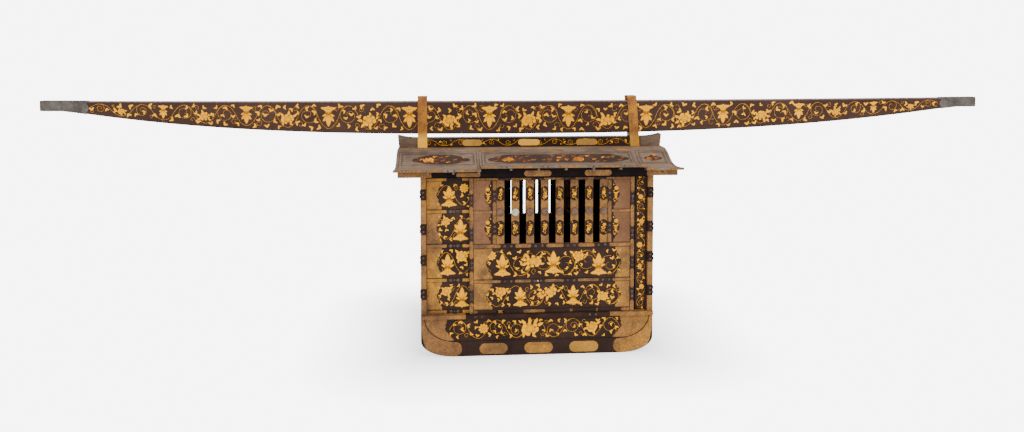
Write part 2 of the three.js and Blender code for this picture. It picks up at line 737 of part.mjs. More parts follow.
// Ends
function buildEnd(parent, name) {
  const depth = halfDepth - POST_WIDTH - GAP;
  const outer = halfLength - POST_WIDTH / 4;
  const inner = outer - WALL_THICKNESS;
  const runs = roofPoints.map((p) => p.x).filter((y) => y < depth - 1);
  const across = [depth, ...runs.slice(1).reverse(), ...runs.map((y) => -y), -depth];
  const outline = [
    [-depth, wallBottom],
    [depth, wallBottom],
    ...across.map((y) => [y, roofUnderAt(y) - GAP]),
  ];
  const wall = solid(prismAlongX(outline, inner, outer));
  const recesses = wallRows().flatMap(({ bottom, top }) =>
    [-1, 1].map((half) => {
      const [y0, y1] = half < 0 ? [-depth + END_STILE, -END_STILE / 2] : [END_STILE / 2, depth - END_STILE];
      return box(outer - WALL_RECESS, outer + 1, y0, y1, bottom, top);
    }),
  );
  piece(parent, `${name}_end_wall`, cut(wall, ...recesses), blackLacquer());

  const sillHalf = -(sillFront + SILL_WIDTH) - GAP;
  const sill = box(innerX, halfLength, -sillHalf, sillHalf, sillBottom, sillTop);
  piece(parent, `${name}_end_sill`, sill, blackLacquer());

  const flatHalf = halfLength - SKIRT_CORNER_RUN;
  const arcAt = (inset) => {
    const points = cornerArc(flatHalf, SKIRT_CORNER_RISE, SKIRT_CORNER_RUN - inset, SKIRT_CORNER_RISE - inset, 8);
    return [...points, [halfLength - inset, SKIRT_HEIGHT]];
  };
  const boardOutline = [...arcAt(END_BOARD_INSET), ...arcAt(END_BOARD_INSET + END_BOARD_THICKNESS).reverse()];
  const boardHalf = halfDepth - SKIRT_THICKNESS - GAP;
  piece(parent, `${name}_end_board`, prismAlongY(boardOutline, -boardHalf, boardHalf), blackLacquer());
}

function buildFloorAndCeiling(parent) {
  const floorX = halfLength - SKIRT_CORNER_RUN - GAP;
  const floorY = halfDepth - SKIRT_THICKNESS - GAP;
  piece(parent, 'floor', box(-floorX, floorX, -floorY, floorY, 0, FLOOR_THICKNESS), blackLacquer());
  const ceilingX = halfLength - POST_WIDTH / 4 - WALL_THICKNESS - GAP;
  const ceilingY = -lintelBack - GAP;
  const z = lintelBottom + CEILING_HEIGHT_ABOVE_LINTEL;
  const ceiling = box(-ceilingX, ceilingX, -ceilingY, ceilingY, z, z + CEILING_THICKNESS);
  piece(parent, 'ceiling', ceiling, wornLacquer());
}

function buildSide(side) {
  const group = new THREE.Group();
  buildSkirt(group, side);
  buildSill(group, side);
  buildPost(group, `${side}_post_left`, -halfLength);
  buildPost(group, `${side}_post_right`, innerX);
  buildWalls(group, side);
  buildLintel(group, side);
  buildDoor(group, side);
  buildPurlin(group, side);
  buildFlap(group, side);
  return group;
}

const palanquin = new THREE.Group();
buildPole(palanquin);

const cabin = new THREE.Group();
cabin.position.x = BODY_SHIFT;
palanquin.add(cabin);
buildStrap(cabin, 'left', STRAP_LEFT_X, 0);
buildStrap(cabin, 'right', STRAP_RIGHT_X, STRAP_RIGHT_LEAN);
buildRidge(cabin);
buildRoof(cabin);
buildFloorAndCeiling(cabin);

const frontSide = buildSide('front');
const rearSide = buildSide('rear');
rearSide.rotation.z = Math.PI;
cabin.add(frontSide, rearSide);

const rightEnd = new THREE.Group();
buildEnd(rightEnd, 'right');
const leftEnd = new THREE.Group();
buildEnd(leftEnd, 'left');
leftEnd.rotation.z = Math.PI;
cabin.add(rightEnd, leftEnd);

export default palanquin;
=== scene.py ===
import math

import bpy
import numpy as np
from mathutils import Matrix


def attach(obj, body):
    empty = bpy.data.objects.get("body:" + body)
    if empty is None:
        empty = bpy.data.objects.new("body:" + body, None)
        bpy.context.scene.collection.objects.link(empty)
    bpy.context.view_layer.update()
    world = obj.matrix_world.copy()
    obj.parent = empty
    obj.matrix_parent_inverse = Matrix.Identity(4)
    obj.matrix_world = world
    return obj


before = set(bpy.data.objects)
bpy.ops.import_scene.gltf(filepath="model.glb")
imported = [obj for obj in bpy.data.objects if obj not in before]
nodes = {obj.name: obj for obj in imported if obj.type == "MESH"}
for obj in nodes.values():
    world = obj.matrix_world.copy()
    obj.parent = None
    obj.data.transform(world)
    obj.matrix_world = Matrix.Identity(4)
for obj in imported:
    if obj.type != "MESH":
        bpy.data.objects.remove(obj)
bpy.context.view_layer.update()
cabinShift = 25.0  # mm, the cabin's middle lies this far right of the pole's
datum = 17.0  # mm above the ground, the level that every height below is counted from
tau = 2 * math.pi


# one socket of a shader, with the operators that the materials use
class Flow:
    def __init__(self, tree, socket):
        self.tree, self.socket = tree, socket

    # links or sets a node's sockets; a colour gets its alpha here
    def fill(self, made, inputs):
        for key, value in inputs.items():
            socket = made.inputs[key]
            if isinstance(value, Flow):
                self.tree.links.new(value.socket, socket)
            else:
                socket.default_value = (*value, 1) if socket.type == "RGBA" else value

    def node(self, kind, settings=None, inputs=None, out=0):
        made = self.tree.nodes.new(kind)
        for key, value in (settings or {}).items():
            setattr(made, key, value)
        self.fill(made, inputs or {})
        return Flow(self.tree, made.outputs[out])

    def math(self, operation, *values):
        return self.node("ShaderNodeMath", {"operation": operation}, dict(enumerate(values)))

    def __add__(self, other):
        return self.math("ADD", self, other)

    __radd__ = __add__

    def __sub__(self, other):
        return self.math("SUBTRACT", self, other)

    def __rsub__(self, other):
        return self.math("SUBTRACT", other, self)

    def __mul__(self, other):
        return self.math("MULTIPLY", self, other)

    __rmul__ = __mul__

    def __abs__(self):
        return self.math("ABSOLUTE", self)

    def __pow__(self, other):
        return self.math("POWER", self, other)

    def atLeast(self, other):
        return self.math("MAXIMUM", self, other)

    # 0 below low, 1 above high, straight between
    def rise(self, low, high):
        return self.node("ShaderNodeMapRange", {"clamp": True}, {"Value": self, "From Min": low, "From Max": high})

    # 1 between low and high, falling off over soft on each side
    def between(self, low, high, soft):
        return self.rise(low - soft, low) * (1 - self.rise(high, high + soft))

    def mix(self, first, second):
        return self.node("ShaderNodeMix", {"data_type": "RGBA"}, {0: self, 6: first, 7: second}, 2)

    def noise(self, scale, detail=3.0, rough=0.55, stretch=None):
        place = self.node("ShaderNodeMapping", {}, {"Vector": self, "Scale": stretch}) if stretch else self
        inputs = {"Vector": place, "Scale": scale, "Detail": detail, "Roughness": rough}
        return self.node("ShaderNodeTexNoise", {}, inputs)

    def cells(self, scale, feature="F1"):
        return self.node("ShaderNodeTexVoronoi", {"feature": feature}, {"Vector": self, "Scale": scale})


# a new material: a flow of the object's coordinates, and its three parts
def startMaterial(name):
    material = bpy.data.materials.new(name)
    material.use_nodes = True
    flow = Flow(material.node_tree, None).node("ShaderNodeTexCoord", out="Object")
    flow.material = material
    parts = flow.node("ShaderNodeSeparateXYZ", {}, {0: flow}).socket.node
    return flow, *[Flow(flow.tree, output) for output in parts.outputs]


def finishMaterial(flow, colour, rough, specular, metallic=0.0, bump=None):
    inputs = {"Base Color": colour, "Roughness": rough, "Specular IOR Level": specular, "Metallic": metallic}
    if bump:
        settings = dict(zip(("Height", "Strength", "Distance"), bump))
        inputs["Normal"] = flow.node("ShaderNodeBump", {}, settings)
    flow.fill(flow.tree.nodes["Principled BSDF"], inputs)
    return flow.material


# metres to the right of the cabin's middle
def fromMiddle(x):
    return x - 0.001 * cabinShift


view = {
    "place": (-0.4043, -4.5294, 1.4808),
    "turn": (87.0, 0.0, -4.2131),
    "lens": 30.809,
    "sensor": 36.0,
    "shiftDown": -0.1201,
    "floorSize": 60.0,
    "floorColour": (0.95, 0.95, 0.95),
    "white": (1, 1, 1),
    "skyLight": 1.6,
    "skySeen": 7.0,
    # the glow's share next to the base: kept low there, it paints a soft shadow around the base
    "nearShare": 0.20,
    "glowReach": 0.60,
    "baseHalf": (0.56, 0.40),
    # name, place, aim, size and power
    "lamps": (
        ("key", (3.0, -4.5, 4.2), (0, 0, 0.6), (2.5, 2.5), 250),
        ("fill", (-4.5, -4.0, 2.4), (0, 0, 0.7), (3.0, 2.0), 75),
        ("top", (0.0, 0.0, 5.0), (0, 0, 0), (4.0, 3.0), 95),
    ),
}


def addObject(name, data):
    made = bpy.data.objects.new(name, data)
    bpy.context.scene.collection.objects.link(made)
    return made


def makeLight(name, place, aim, size, power):
    data = bpy.data.lights.new(name, "AREA")
    data.shape = "RECTANGLE"
    data.size, data.size_y = size
    data.energy = power
    lamp = addObject(name, data)
    lamp.location = place
    dx, dy, dz = np.array(aim) - np.array(place)
    lamp.rotation_euler = (math.atan2(math.hypot(dx, dy), -dz), 0, math.atan2(-dx, dy))


# a white glow takes over by this share from what the surface or the sky is otherwise
def addGlow(flow, share, plain, kind, output):
    glow = flow.node(kind, {}, {"Color": view["white"], "Strength": view["skySeen"]})
    both = flow.node("ShaderNodeMixShader", {}, {0: share, 1: plain, 2: glow})
    flow.fill(flow.tree.nodes[output], {"Surface": both})


def makeStudio():
    data = bpy.data.cameras.new("camera")
    data.sensor_width = view["sensor"]
    data.lens = view["lens"]
    data.shift_y = view["shiftDown"]
    data.clip_end = 200
    camera = addObject("camera", data)
    camera.location = view["place"]
    camera.rotation_euler = [math.radians(a) for a in view["turn"]]
    bpy.context.scene.camera = camera

    half = view["floorSize"] / 2
    mesh = bpy.data.meshes.new("floor_sheet")
    mesh.from_pydata([(-half, -half, 0), (half, -half, 0), (half, half, 0), (-half, half, 0)], [], [(0, 1, 2, 3)])
    # white paper: a glow that only the camera sees takes over with the distance from the cabin's base, which is the
    # length of what lies outside the base's half sizes; its small share near the base paints a soft shadow around it
    flow, x, y, z = startMaterial("pale floor with painted shadow")
    dx = (abs(fromMiddle(x)) - view["baseHalf"][0]).atLeast(0.0)
    dy = (abs(y) - view["baseHalf"][1]).atLeast(0.0)
    away = ((dx * dx + dy * dy) ** 0.5).rise(0.0, view["glowReach"])
    seen = flow.node("ShaderNodeLightPath")
    share = (view["nearShare"] + (1 - view["nearShare"]) * away) * seen
    mesh.materials.append(finishMaterial(flow, view["floorColour"], 0.9, 0.1))
    paper = Flow(flow.tree, flow.tree.nodes["Principled BSDF"].outputs[0])
    addGlow(flow, share, paper, "ShaderNodeEmission", "Material Output")
    addObject("floor_sheet", mesh)

    world = bpy.data.worlds.new("studio")
    world.use_nodes = True
    sky = world.node_tree.nodes["Background"]
    flow = Flow(world.node_tree, sky.outputs[0])
    flow.fill(sky, {"Color": view["white"], "Strength": view["skyLight"]})
    addGlow(flow, flow.node("ShaderNodeLightPath"), flow, "ShaderNodeBackground", "World Output")
    bpy.context.scene.world = world
    for lamp in view["lamps"]:
        makeLight(*lamp)


makeStudio()
print("studio ready")


finishes = {
    "black": (0.0150, 0.0068, 0.0045),
    "blackHigh": (0.034, 0.0165, 0.0110),
    "blackWorn": (0.090, 0.048, 0.026),
    # painted shade: the near black of the purlin's bare middle and of the lintel, which lie under the eave
    "shade": (0.0030, 0.0015, 0.0012),
    "pole": (0.031, 0.0150, 0.0105),
    "poleHigh": (0.052, 0.0270, 0.0190),
    "poleWornAndSheen": (0.21, 0.145, 0.140),
    "gold": (0.80, 0.365, 0.0005),
    "goldLow": (0.74, 0.30, 0.004),
    "goldDeep": (0.22, 0.075, 0.002),
    "fadedGold": (0.72, 0.235, 0.004),
    "fadedRed": (0.125, 0.036, 0.012),
    "gilt": (0.275, 0.130, 0.046),
    "giltBright": (0.58, 0.258, 0.020),
    "giltDark": (0.078, 0.042, 0.024),
    "giltShine": (0.95, 0.48, 0.040),
    "tarnish": (0.062, 0.042, 0.033),
    "band": (0.300, 0.118, 0.024),
    "bandBright": (0.62, 0.255, 0.020),
    "bandDark": (0.110, 0.040, 0.018),
    "plate": (0.125, 0.056, 0.025),
    "plateDark": (0.080, 0.036, 0.020),
    "roof": (0.082, 0.054, 0.036),
    "roofLight": (0.185, 0.132, 0.092),
    "roofDark": (0.024, 0.0145, 0.011),
    "iron": (0.058, 0.047, 0.037),
    "ironLight": (0.135, 0.115, 0.095),
    "ironDark": (0.027, 0.021, 0.017),
    "knob": (0.040, 0.024, 0.019),
    "knobHigh": (0.10, 0.066, 0.052),
    "inside": (0.085, 0.040, 0.022),
}
blacks = (finishes["black"], finishes["blackHigh"])


# black lacquer: deep brown-black with cloudy patches and fine rubbed spots
def lacquerMaterial(name, worn=0.35, gloss=0.33, shine=0.10, colours=blacks):
    flow, x, y, z = startMaterial(name)
    cloud = flow.noise(5.0, 4.0, 0.6)
    fine = flow.noise(90.0, 3.0, 0.6)
    rub = (fine * cloud).rise(0.36 - 0.08 * worn, 0.46)
    colour = (rub * worn).mix(cloud.rise(0.35, 0.75).mix(*colours), finishes["blackWorn"])
    rough = gloss + 0.16 * cloud + 0.15 * rub
    return finishMaterial(flow, colour, rough, shine, 0.0, (fine + 0.4 * cloud, 0.10, 0.0006))


# the pole's lacquer, rubbed pale along its top edges and lit pale there as a painted highlight of the bevel:
# the edge's height above the ground is a parabola in x
def poleMaterial(name):
    flow, x, y, z = startMaterial(name)
    cloud = flow.noise(3.0, 5.0, 0.6, (1, 3, 3))
    fine = flow.noise(70.0, 3.0, 0.6)
    along = x * (1 / 2.425)
    top = 1.2030 + 0.009 * along * along
    # the pale top edge, broken by fine noise: partly wear, partly a painted highlight
    edge = (z - top).rise(-0.0065, -0.002) * fine.rise(0.25, 0.6)
    colour = cloud.rise(0.35, 0.75).mix(finishes["pole"], finishes["poleHigh"])
    colour = (edge * 0.8).mix(colour, finishes["poleWornAndSheen"])
    colour = ((fine * cloud).rise(0.33, 0.45) * 0.35).mix(colour, finishes["blackWorn"])
    return finishMaterial(flow, colour, 0.36 + 0.2 * cloud, 0.06, 0.0, (fine + 0.4 * cloud, 0.12, 0.0006))


# raised gold lacquer: powdered gold, deeper where it is thin
def makieMaterial(name, light, deep, rubbed=0.25):
    flow, x, y, z = startMaterial(name)
    cloud = flow.noise(14.0, 4.0, 0.6)
    grain = flow.noise(700.0, 2.0, 0.6)
    tone = flow.node("ShaderNodeAttribute", {"attribute_name": "tone"}, {}, 2)
    colour = cloud.rise(0.36, 0.66).mix(light, deep)
    colour = ((grain * cloud).rise(0.30, 0.42) * rubbed).mix(colour, finishes["goldDeep"])
    colour = ((1 - tone.rise(0.0, 0.6)) * 0.92).mix(colour, finishes["goldDeep"])
    return finishMaterial(flow, colour, 0.45 + 0.2 * grain, 0.05, 0.25, (grain, 0.15, 0.0003))


# chased gilt copper: a punched ground of cells, low scrolls between, dark in the hollows and rubbed bright in
# patches; bare gives where the wood stays black, shine gives where the gilding is rubbed brightest
def giltMaterial(
        name, bright, dark, bare=None, blacks=blacks, shine=None, palette=("gilt", "giltBright", "giltDark")):
    middleTone, brightTone, darkTone = [finishes[key] for key in palette]
    flow, x, y, z = startMaterial(name)
    cloud = flow.noise(16.0, 5.0, 0.65)
    broad = flow.noise(4.5, 3.0, 0.5)
    grain = flow.noise(150.0, 4.0, 0.7)
    punch = flow.cells(330.0)
    sway = flow.node("ShaderNodeTexNoise", {}, {"Vector": flow, "Scale": 38.0, "Detail": 1.0}, 1)
    sway = flow.node("ShaderNodeVectorMath", {"operation": "SCALE"}, {0: sway, "Scale": 0.03})
    bent = flow.node("ShaderNodeVectorMath", {"operation": "ADD"}, {0: flow, 1: sway})
    scroll = bent.cells(60.0, "DISTANCE_TO_EDGE").rise(0.02, 0.12)
    hollow = (1 - scroll) * 0.55 * dark + punch.rise(0.35, 0.7) * 0.4 * dark + grain.rise(0.52, 0.70) * 0.5
    colour = cloud.rise(0.34, 0.70).mix(middleTone, darkTone)
    colour = (broad.rise(0.42, 0.68) * bright).mix(colour, brightTone)
    colour = hollow.mix(colour, darkTone)
    colour = ((1 - grain.rise(0.30, 0.44)) * 0.45).mix(colour, brightTone)
    colour = ((broad * cloud).rise(0.28, 0.36) * 0.55).mix(colour, finishes["tarnish"])
    metallic = 0.35
    height = scroll * 0.6 - punch.rise(0.1, 0.8) * 0.35 + cloud * 0.2
    if shine:
        colour = (shine(flow, x, y, z) * (0.45 + 0.5 * cloud)).mix(colour, finishes["giltShine"])
    if bare:
        share = bare(flow, x, y, z)
        colour = share.mix(colour, cloud.rise(0.35, 0.75).mix(*blacks))
        metallic = (1 - share) * 0.35
        height = height * (1 - share) - share * 0.6
    return finishMaterial(flow, colour, 0.45 + 0.25 * cloud, 0.06, metallic, (height, 0.45, 0.0008))


# worn lacquer over wood: streaks along the grain, pale where it is bare
def wornMaterial(name, base, light, dark, along=(1, 6, 6), metallic=0.0):
    flow, x, y, z = startMaterial(name)
    streak = flow.noise(22.0, 5.0, 0.7, along)
    cloud = flow.noise(6.0, 4.0, 0.6)
    speck = flow.noise(260.0, 2.0, 0.6)
    colour = cloud.rise(0.35, 0.7).mix(base, light)
    colour = (streak.rise(0.45, 0.72) * 0.75).mix(colour, dark)
    colour = ((speck * streak).rise(0.30, 0.40) * 0.5).mix(colour, light)
    return finishMaterial(flow, colour, 0.55 + 0.2 * streak, 0.12, metallic, (streak + 0.35 * speck, 0.30, 0.0008))


def ironMaterial(name):
    flow, x, y, z = startMaterial(name)
    cloud = flow.noise(20.0, 5.0, 0.65)
    pits = flow.noise(240.0, 3.0, 0.6)
    colour = cloud.rise(0.35, 0.7).mix(finishes["iron"], finishes["ironDark"])
    colour = ((pits * (1 - cloud)).rise(0.22, 0.36) * 0.6).mix(colour, finishes["ironLight"])
    return finishMaterial(flow, colour, 0.5 + 0.2 * cloud, 0.5, 0.35, (pits + cloud, 0.3, 0.0007))


# round knobs, studs and bosses: rubbed pale in fine patches
def knobMaterial(name, base, high):
    flow, x, y, z = startMaterial(name)
    cloud = flow.noise(60.0, 4.0, 0.6)
    fine = flow.noise(400.0, 2.0, 0.6)
    colour = cloud.rise(0.40, 0.68).mix(base, high)
    return finishMaterial(flow, colour, 0.42 + 0.2 * cloud, 0.2, 0.25, (fine, 0.2, 0.0004))


# 1 between two places along the cabin, in metres from its middle
def middleSpan(low, high):
    return lambda flow, x, y, z: fromMiddle(x).between(low, high, 0.0015)


# the ridge box: black lacquer between plain worn ends
def ridgeMaterial(name):
    flow, x, y, z = startMaterial(name)
    inner = middleSpan(-0.571, 0.573)(flow, x, y, z)
    streak = flow.noise(24.0, 5.0, 0.7, (1, 6, 6))
    cloud = flow.noise(7.0, 4.0, 0.6)
    plain = cloud.rise(0.35, 0.7).mix((0.085, 0.052, 0.034), (0.15, 0.10, 0.070))
    plain = (streak.rise(0.45, 0.7) * 0.6).mix(plain, (0.035, 0.020, 0.015))
    colour = inner.mix(plain, cloud.rise(0.35, 0.75).mix(*blacks))
    return finishMaterial(flow, colour, 0.58 - 0.22 * inner, 0.04, 0.0, (streak + inner, 0.25, 0.0008))


# the posts are gilt with black spans around their pairs of collars, at these heights above the ground
postSpans = [0.3043, 0.4687, 0.6165, 0.7824]


def postSpan(flow, x, y, z):
    first, *others = [(z - middle).between(-0.026, 0.026, 0.001) for middle in postSpans]
    for other in others:
        first = first.atLeast(other)
    return first


# the bands' lower ends are rubbed bright, the left one's most
def strapShine(flow, x, y, z):
    low = 1 - (z + 0.05 * flow.noise(9.0)).rise(1.035, 1.075)
    return low * (0.30 + 0.70 * (1 - x.rise(-0.1, 0.1)))


# of the ridge's three ovals the middle one is rubbed brightest and the right one least
def ovalShine(flow, x, y, z):
    along = fromMiddle(x)
    outer = (1 - along.rise(-0.32, -0.20)) * 0.34 + along.rise(0.20, 0.24) * 0.22
    return along.between(-0.10, 0.09, 0.004) * 0.80 + outer


# of the base board's three tablets the right one is rubbed brightest
def tabletShine(flow, x, y, z):
    return fromMiddle(x).rise(0.10, 0.14) * 0.24 + 0.04


mats = {
    "black": lacquerMaterial("black lacquer"),
    "pole": poleMaterial("pole lacquer"),
    "makie": makieMaterial("raised gold", finishes["gold"], finishes["goldLow"]),
    "makieFaded": makieMaterial("faded gold", finishes["fadedGold"], finishes["fadedRed"], 0.4),
    "makieRed": makieMaterial("red brown leaf", finishes["fadedRed"], (0.20, 0.075, 0.03), 0.2),
    "gilt": giltMaterial("chased gilt copper", 0.55, 0.5),
    "giltBright": giltMaterial("bright gilt copper", 0.95, 0.3),
    "giltDull": giltMaterial("dull gilt copper", 0.22, 0.7),
    "giltWarm": giltMaterial("rubbed gilt copper", 0.8, 0.6),
    "giltOval": giltMaterial("gilt ridge mount", 0.55, 0.4, shine=ovalShine),
    "giltTablet": giltMaterial("gilt base mount", 0.8, 0.6, shine=tabletShine),
    "post": giltMaterial("gilt post", 0.35, 0.5, postSpan),
    "sill": giltMaterial("gilt ended sill", 0.3, 0.6, middleSpan(-0.3465, 0.3480)),
    # the purlin's bare middle and the lintel are darker than the black lacquer elsewhere: painted shade of the eave
    "purlin": giltMaterial(
        "gilt ended purlin with painted shade", 0.35, 0.5, middleSpan(-0.505, 0.515), (finishes["shade"], (0.010, 0.005, 0.004))),
    "beam": lacquerMaterial("lacquer with painted shade", 0.1, 0.5, 0.02, (finishes["shade"], (0.009, 0.0045, 0.0035))),
    "strap": giltMaterial("gilt band", 0.9, 0.7, shine=strapShine, palette=("band", "bandBright", "bandDark")),
    "plate": wornMaterial(
        "brown violet plate", finishes["plate"], (0.20, 0.095, 0.045), finishes["plateDark"], (3, 3, 3), 0.2),
    "roof": wornMaterial("worn roof lacquer", finishes["roof"], finishes["roofLight"], finishes["roofDark"]),
    "roofRim": wornMaterial("roof border", (0.040, 0.023, 0.015), (0.105, 0.066, 0.042), finishes["roofDark"]),
    "cartouche": wornMaterial(
        "cartouche ground", (0.022, 0.011, 0.007), (0.042, 0.023, 0.015), (0.010, 0.005, 0.004)),
    "ridge": ridgeMaterial("ridge lacquer"),
    "iron": ironMaterial("grey iron"),
    "knob": knobMaterial("dark knob", finishes["knob"], finishes["knobHigh"]),
    "rivet": knobMaterial("pale rivet", (0.34, 0.30, 0.24), (0.55, 0.52, 0.42)),
    "boss": knobMaterial("brown boss", (0.072, 0.040, 0.027), (0.150, 0.085, 0.054)),
    "verdigris": knobMaterial("pale green boss", (0.26, 0.235, 0.165), (0.48, 0.45, 0.34)),
    "inside": wornMaterial("inner wood", finishes["inside"], (0.13, 0.064, 0.036), (0.045, 0.022, 0.014)),
}
print("materials ready:", len(mats))

nodeFinish = {
    "pole": "pole", "ferrule": "iron", "strap": "strap", "saddle": "black", "ridge_box": "ridge", "roof": "roof",
    "floor": "inside", "ceiling": "inside", "skirt": "black", "sill": "sill", "post": "post", "wall": "black",
    "jamb": "black", "lintel": "beam", "purlin": "purlin", "roof_flap": "roof", "door_frame": "black",
    "door_upper_panel": "black", "door_lower_panel": "black", "door_side_panel": "plate", "door_grille": "gilt",
    "end_wall": "black", "end_sill": "black", "end_board": "black",
}
# pieces of these finishes are turned, and shaded smooth
turnedFinishes = ("knob", "rivet", "boss", "verdigris")


def pair(u, v):
    return np.stack(np.broadcast_arrays(u, v), 1)


# angles of so many places around a circle
def circle(count):
    return np.arange(count) * tau / count


# triangles, and quads as two triangles, from arrays of point numbers
def tri(*corners):
    return np.stack(np.broadcast_arrays(*corners), -1).reshape(-1, 3)


def quad(a, b, c, d):
    return np.concatenate([tri(a, b, c), tri(a, c, d)])


# low relief: closed shapes laid out on a flat sheet, u to the right, v up, h outwards, all in mm
class Relief:
    def __init__(self):
        self.points, self.faces, self.tones, self.size = [], [], [], 0

    def take(self, points, faces, tones=1.0):
        self.points.append(points.reshape(-1, 3))
        self.faces.append(faces.reshape(-1, 3) + self.size)
        self.tones.append(np.broadcast_to(tones, points.shape[:-1]).ravel())
        self.size += points.size // 3

    # so many copies of one shape's faces, each on its own points
    def takeCopies(self, points, one, tones=1.0):
        step = points[0].size // 3
        self.take(points, one[None] + (np.arange(len(points)) * step)[:, None, None], tones)

    # takes over another relief, moved up by v
    def join(self, other, v=0.0):
        self.points += [points + (0, v, 0) for points in other.points]
        self.faces += [faces + self.size for faces in other.faces]
        self.tones += other.tones
        self.size += other.size

    # copies of an outline around its own middle: foot ring at low, rim at high and drawn in a little, a ring that
    # carries the swell, and the middle at crown; the tone is dark at the rim and light inside
    def stamps(self, outline, u, v, turn, scale, high, crown=None, low=-0.3, flip=1.0, edge=0.0, inner=1.0):
        crown = high if crown is None else crown
        count = max(np.size(a) for a in (u, v, turn, scale, flip))
        u, v, turn, scale, flip, high, crown = [
            np.broadcast_to(np.asarray(a, float), count)[:, None] for a in (u, v, turn, scale, flip, high, crown)]
        ox, oy = outline[:, 0] * scale, outline[:, 1] * scale * flip
        x = ox * np.cos(turn) - oy * np.sin(turn)
        y = ox * np.sin(turn) + oy * np.cos(turn)
        n = len(outline)
        points = np.zeros((count, 3 * n + 2, 3))
        tones = np.full(3 * n + 2, float(inner))
        rings = ((1.0, low, edge), (0.91, high, edge), (0.70, 0.25 * high + 0.75 * crown, inner))
        for ring, (share, height, tone) in enumerate(rings):
            at = slice(ring * n, ring * n + n)
            points[:, at, 0], points[:, at, 1], points[:, at, 2] = u + share * x, v + share * y, height
            tones[at] = tone
        points[:, 3 * n:, 0], points[:, 3 * n:, 1] = u, v
        points[:, 3 * n, 2], points[:, 3 * n + 1, 2] = crown[:, 0], low
        k = np.arange(n)
        j = (k + 1) % n
        one = np.concatenate([
            quad(k, j, n + j, n + k), quad(n + k, n + j, 2 * n + j, 2 * n + k),
            tri(3 * n, 2 * n + k, 2 * n + j), tri(3 * n + 1, j, k)])
        faces = one[None] + (np.arange(count) * (3 * n + 2))[:, None, None]
        back = flip[:, 0] < 0
        faces[back] = faces[back][:, :, ::-1]
        self.take(points, faces, tones)

    # a flat band with sloped sides along each path; paths is (count, stations, 2), widths broadcasts to it
    def ribbons(self, paths, widths, high, low=-0.3):
        paths = np.asarray(paths, float)
        paths = paths[None] if paths.ndim == 2 else paths
        count, k = paths.shape[:2]
        along = np.gradient(paths, axis=1)
        along /= np.maximum(np.linalg.norm(along, axis=2, keepdims=True), 1e-9)
        half = np.broadcast_to(np.asarray(widths, float), (count, k))[..., None] / 2
        left = np.stack([-along[..., 1], along[..., 0]], 2) * half
        points = np.zeros((count, k, 4, 3))
        for c, (offset, height) in enumerate(((-1, low), (-0.62, high), (0.62, high), (1, low))):
            points[:, :, c, :2] = paths + offset * left
            points[:, :, c, 2] = height
        s, c = np.arange(k - 1)[:, None] * 4, np.arange(4)[None]
        d, last = (c + 1) % 4, 4 * (k - 1)
        caps = np.array([[0, 1, 2], [0, 2, 3], [last, last + 2, last + 1], [last, last + 3, last + 2]])
        self.takeCopies(points, np.concatenate([quad(s + c, s + 4 + c, s + 4 + d, s + d), caps]))

    # a thin plate between two edges a and b of equally many points, its rim lower than its face
    def plate(self, a, b, high, low=-0.3, across=(0, 0.02, 0.5, 0.98, 1), rim=0.35):
        w = np.asarray(across, float)[None, :, None]
        flat = a[:, None] * (1 - w) + b[:, None] * w
        k, c = flat.shape[:2]
        height = np.full((k, c), high)
        height[[0, -1]] = height[:, [0, -1]] = rim * high
        top = np.concatenate([flat, height[..., None]], 2)
        foot = np.concatenate([flat, np.full((k, c, 1), low)], 2)
        index = np.arange(k * c).reshape(k, c)
        corners = index[:-1, :-1], index[1:, :-1], index[1:, 1:], index[:-1, 1:]
        loop = np.concatenate([index[0, :-1], index[:-1, -1], index[-1, :0:-1], index[:0:-1, 0]])
        after = np.roll(loop, -1)
        under = k * c
        faces = np.concatenate([
            quad(*corners), quad(*corners)[:, [0, 2, 1]] + under, quad(loop, after, after + under, loop + under)])
        middle = (k - 1) // 2
        along, over = flat[middle + 1, 0] - flat[middle, 0], flat[middle, -1] - flat[middle, 0]
        if along[0] * over[1] - along[1] * over[0] < 0:
            faces = faces[:, ::-1]  # keeps the faces outwards when b lies on the other side of a
        self.take(np.concatenate([top.reshape(-1, 3), foot.reshape(-1, 3)]), faces)

    # turned knobs: profile of (share of the radius, height) from the foot to the middle
    def knobs(self, u, v, radius, profile, sides=12):
        u, v = np.broadcast_arrays(np.atleast_1d(np.asarray(u, float)), np.asarray(v, float))
        profile = np.asarray(profile, float)
        rings, angle = profile[:-1], circle(sides)
        r = radius * rings[None, :, 0, None]
        points = np.zeros((len(u), len(rings), sides, 3))
        points[..., 0] = u[:, None, None] + r * np.cos(angle)
        points[..., 1] = v[:, None, None] + r * np.sin(angle)
        points[..., 2] = rings[None, :, 1, None]
        ends = np.zeros((len(u), 2, 3))
        ends[:, :, 0], ends[:, :, 1] = u[:, None], v[:, None]
        ends[:, 0, 2], ends[:, 1, 2] = profile[-1, 1], rings[0, 1]
        count = len(rings) * sides
        last = count - sides
        k = np.arange(sides)
        j = (k + 1) % sides
        walls = [quad(a + k, a + j, a + sides + j, a + sides + k) for a in range(0, last, sides)]
        one = np.concatenate(walls + [tri(last + k, last + j, count), tri(j, k, count + 1)])
        self.takeCopies(np.concatenate([points.reshape(len(u), count, 3), ends], 1), one)


total = {"pieces": 0, "triangles": 0}


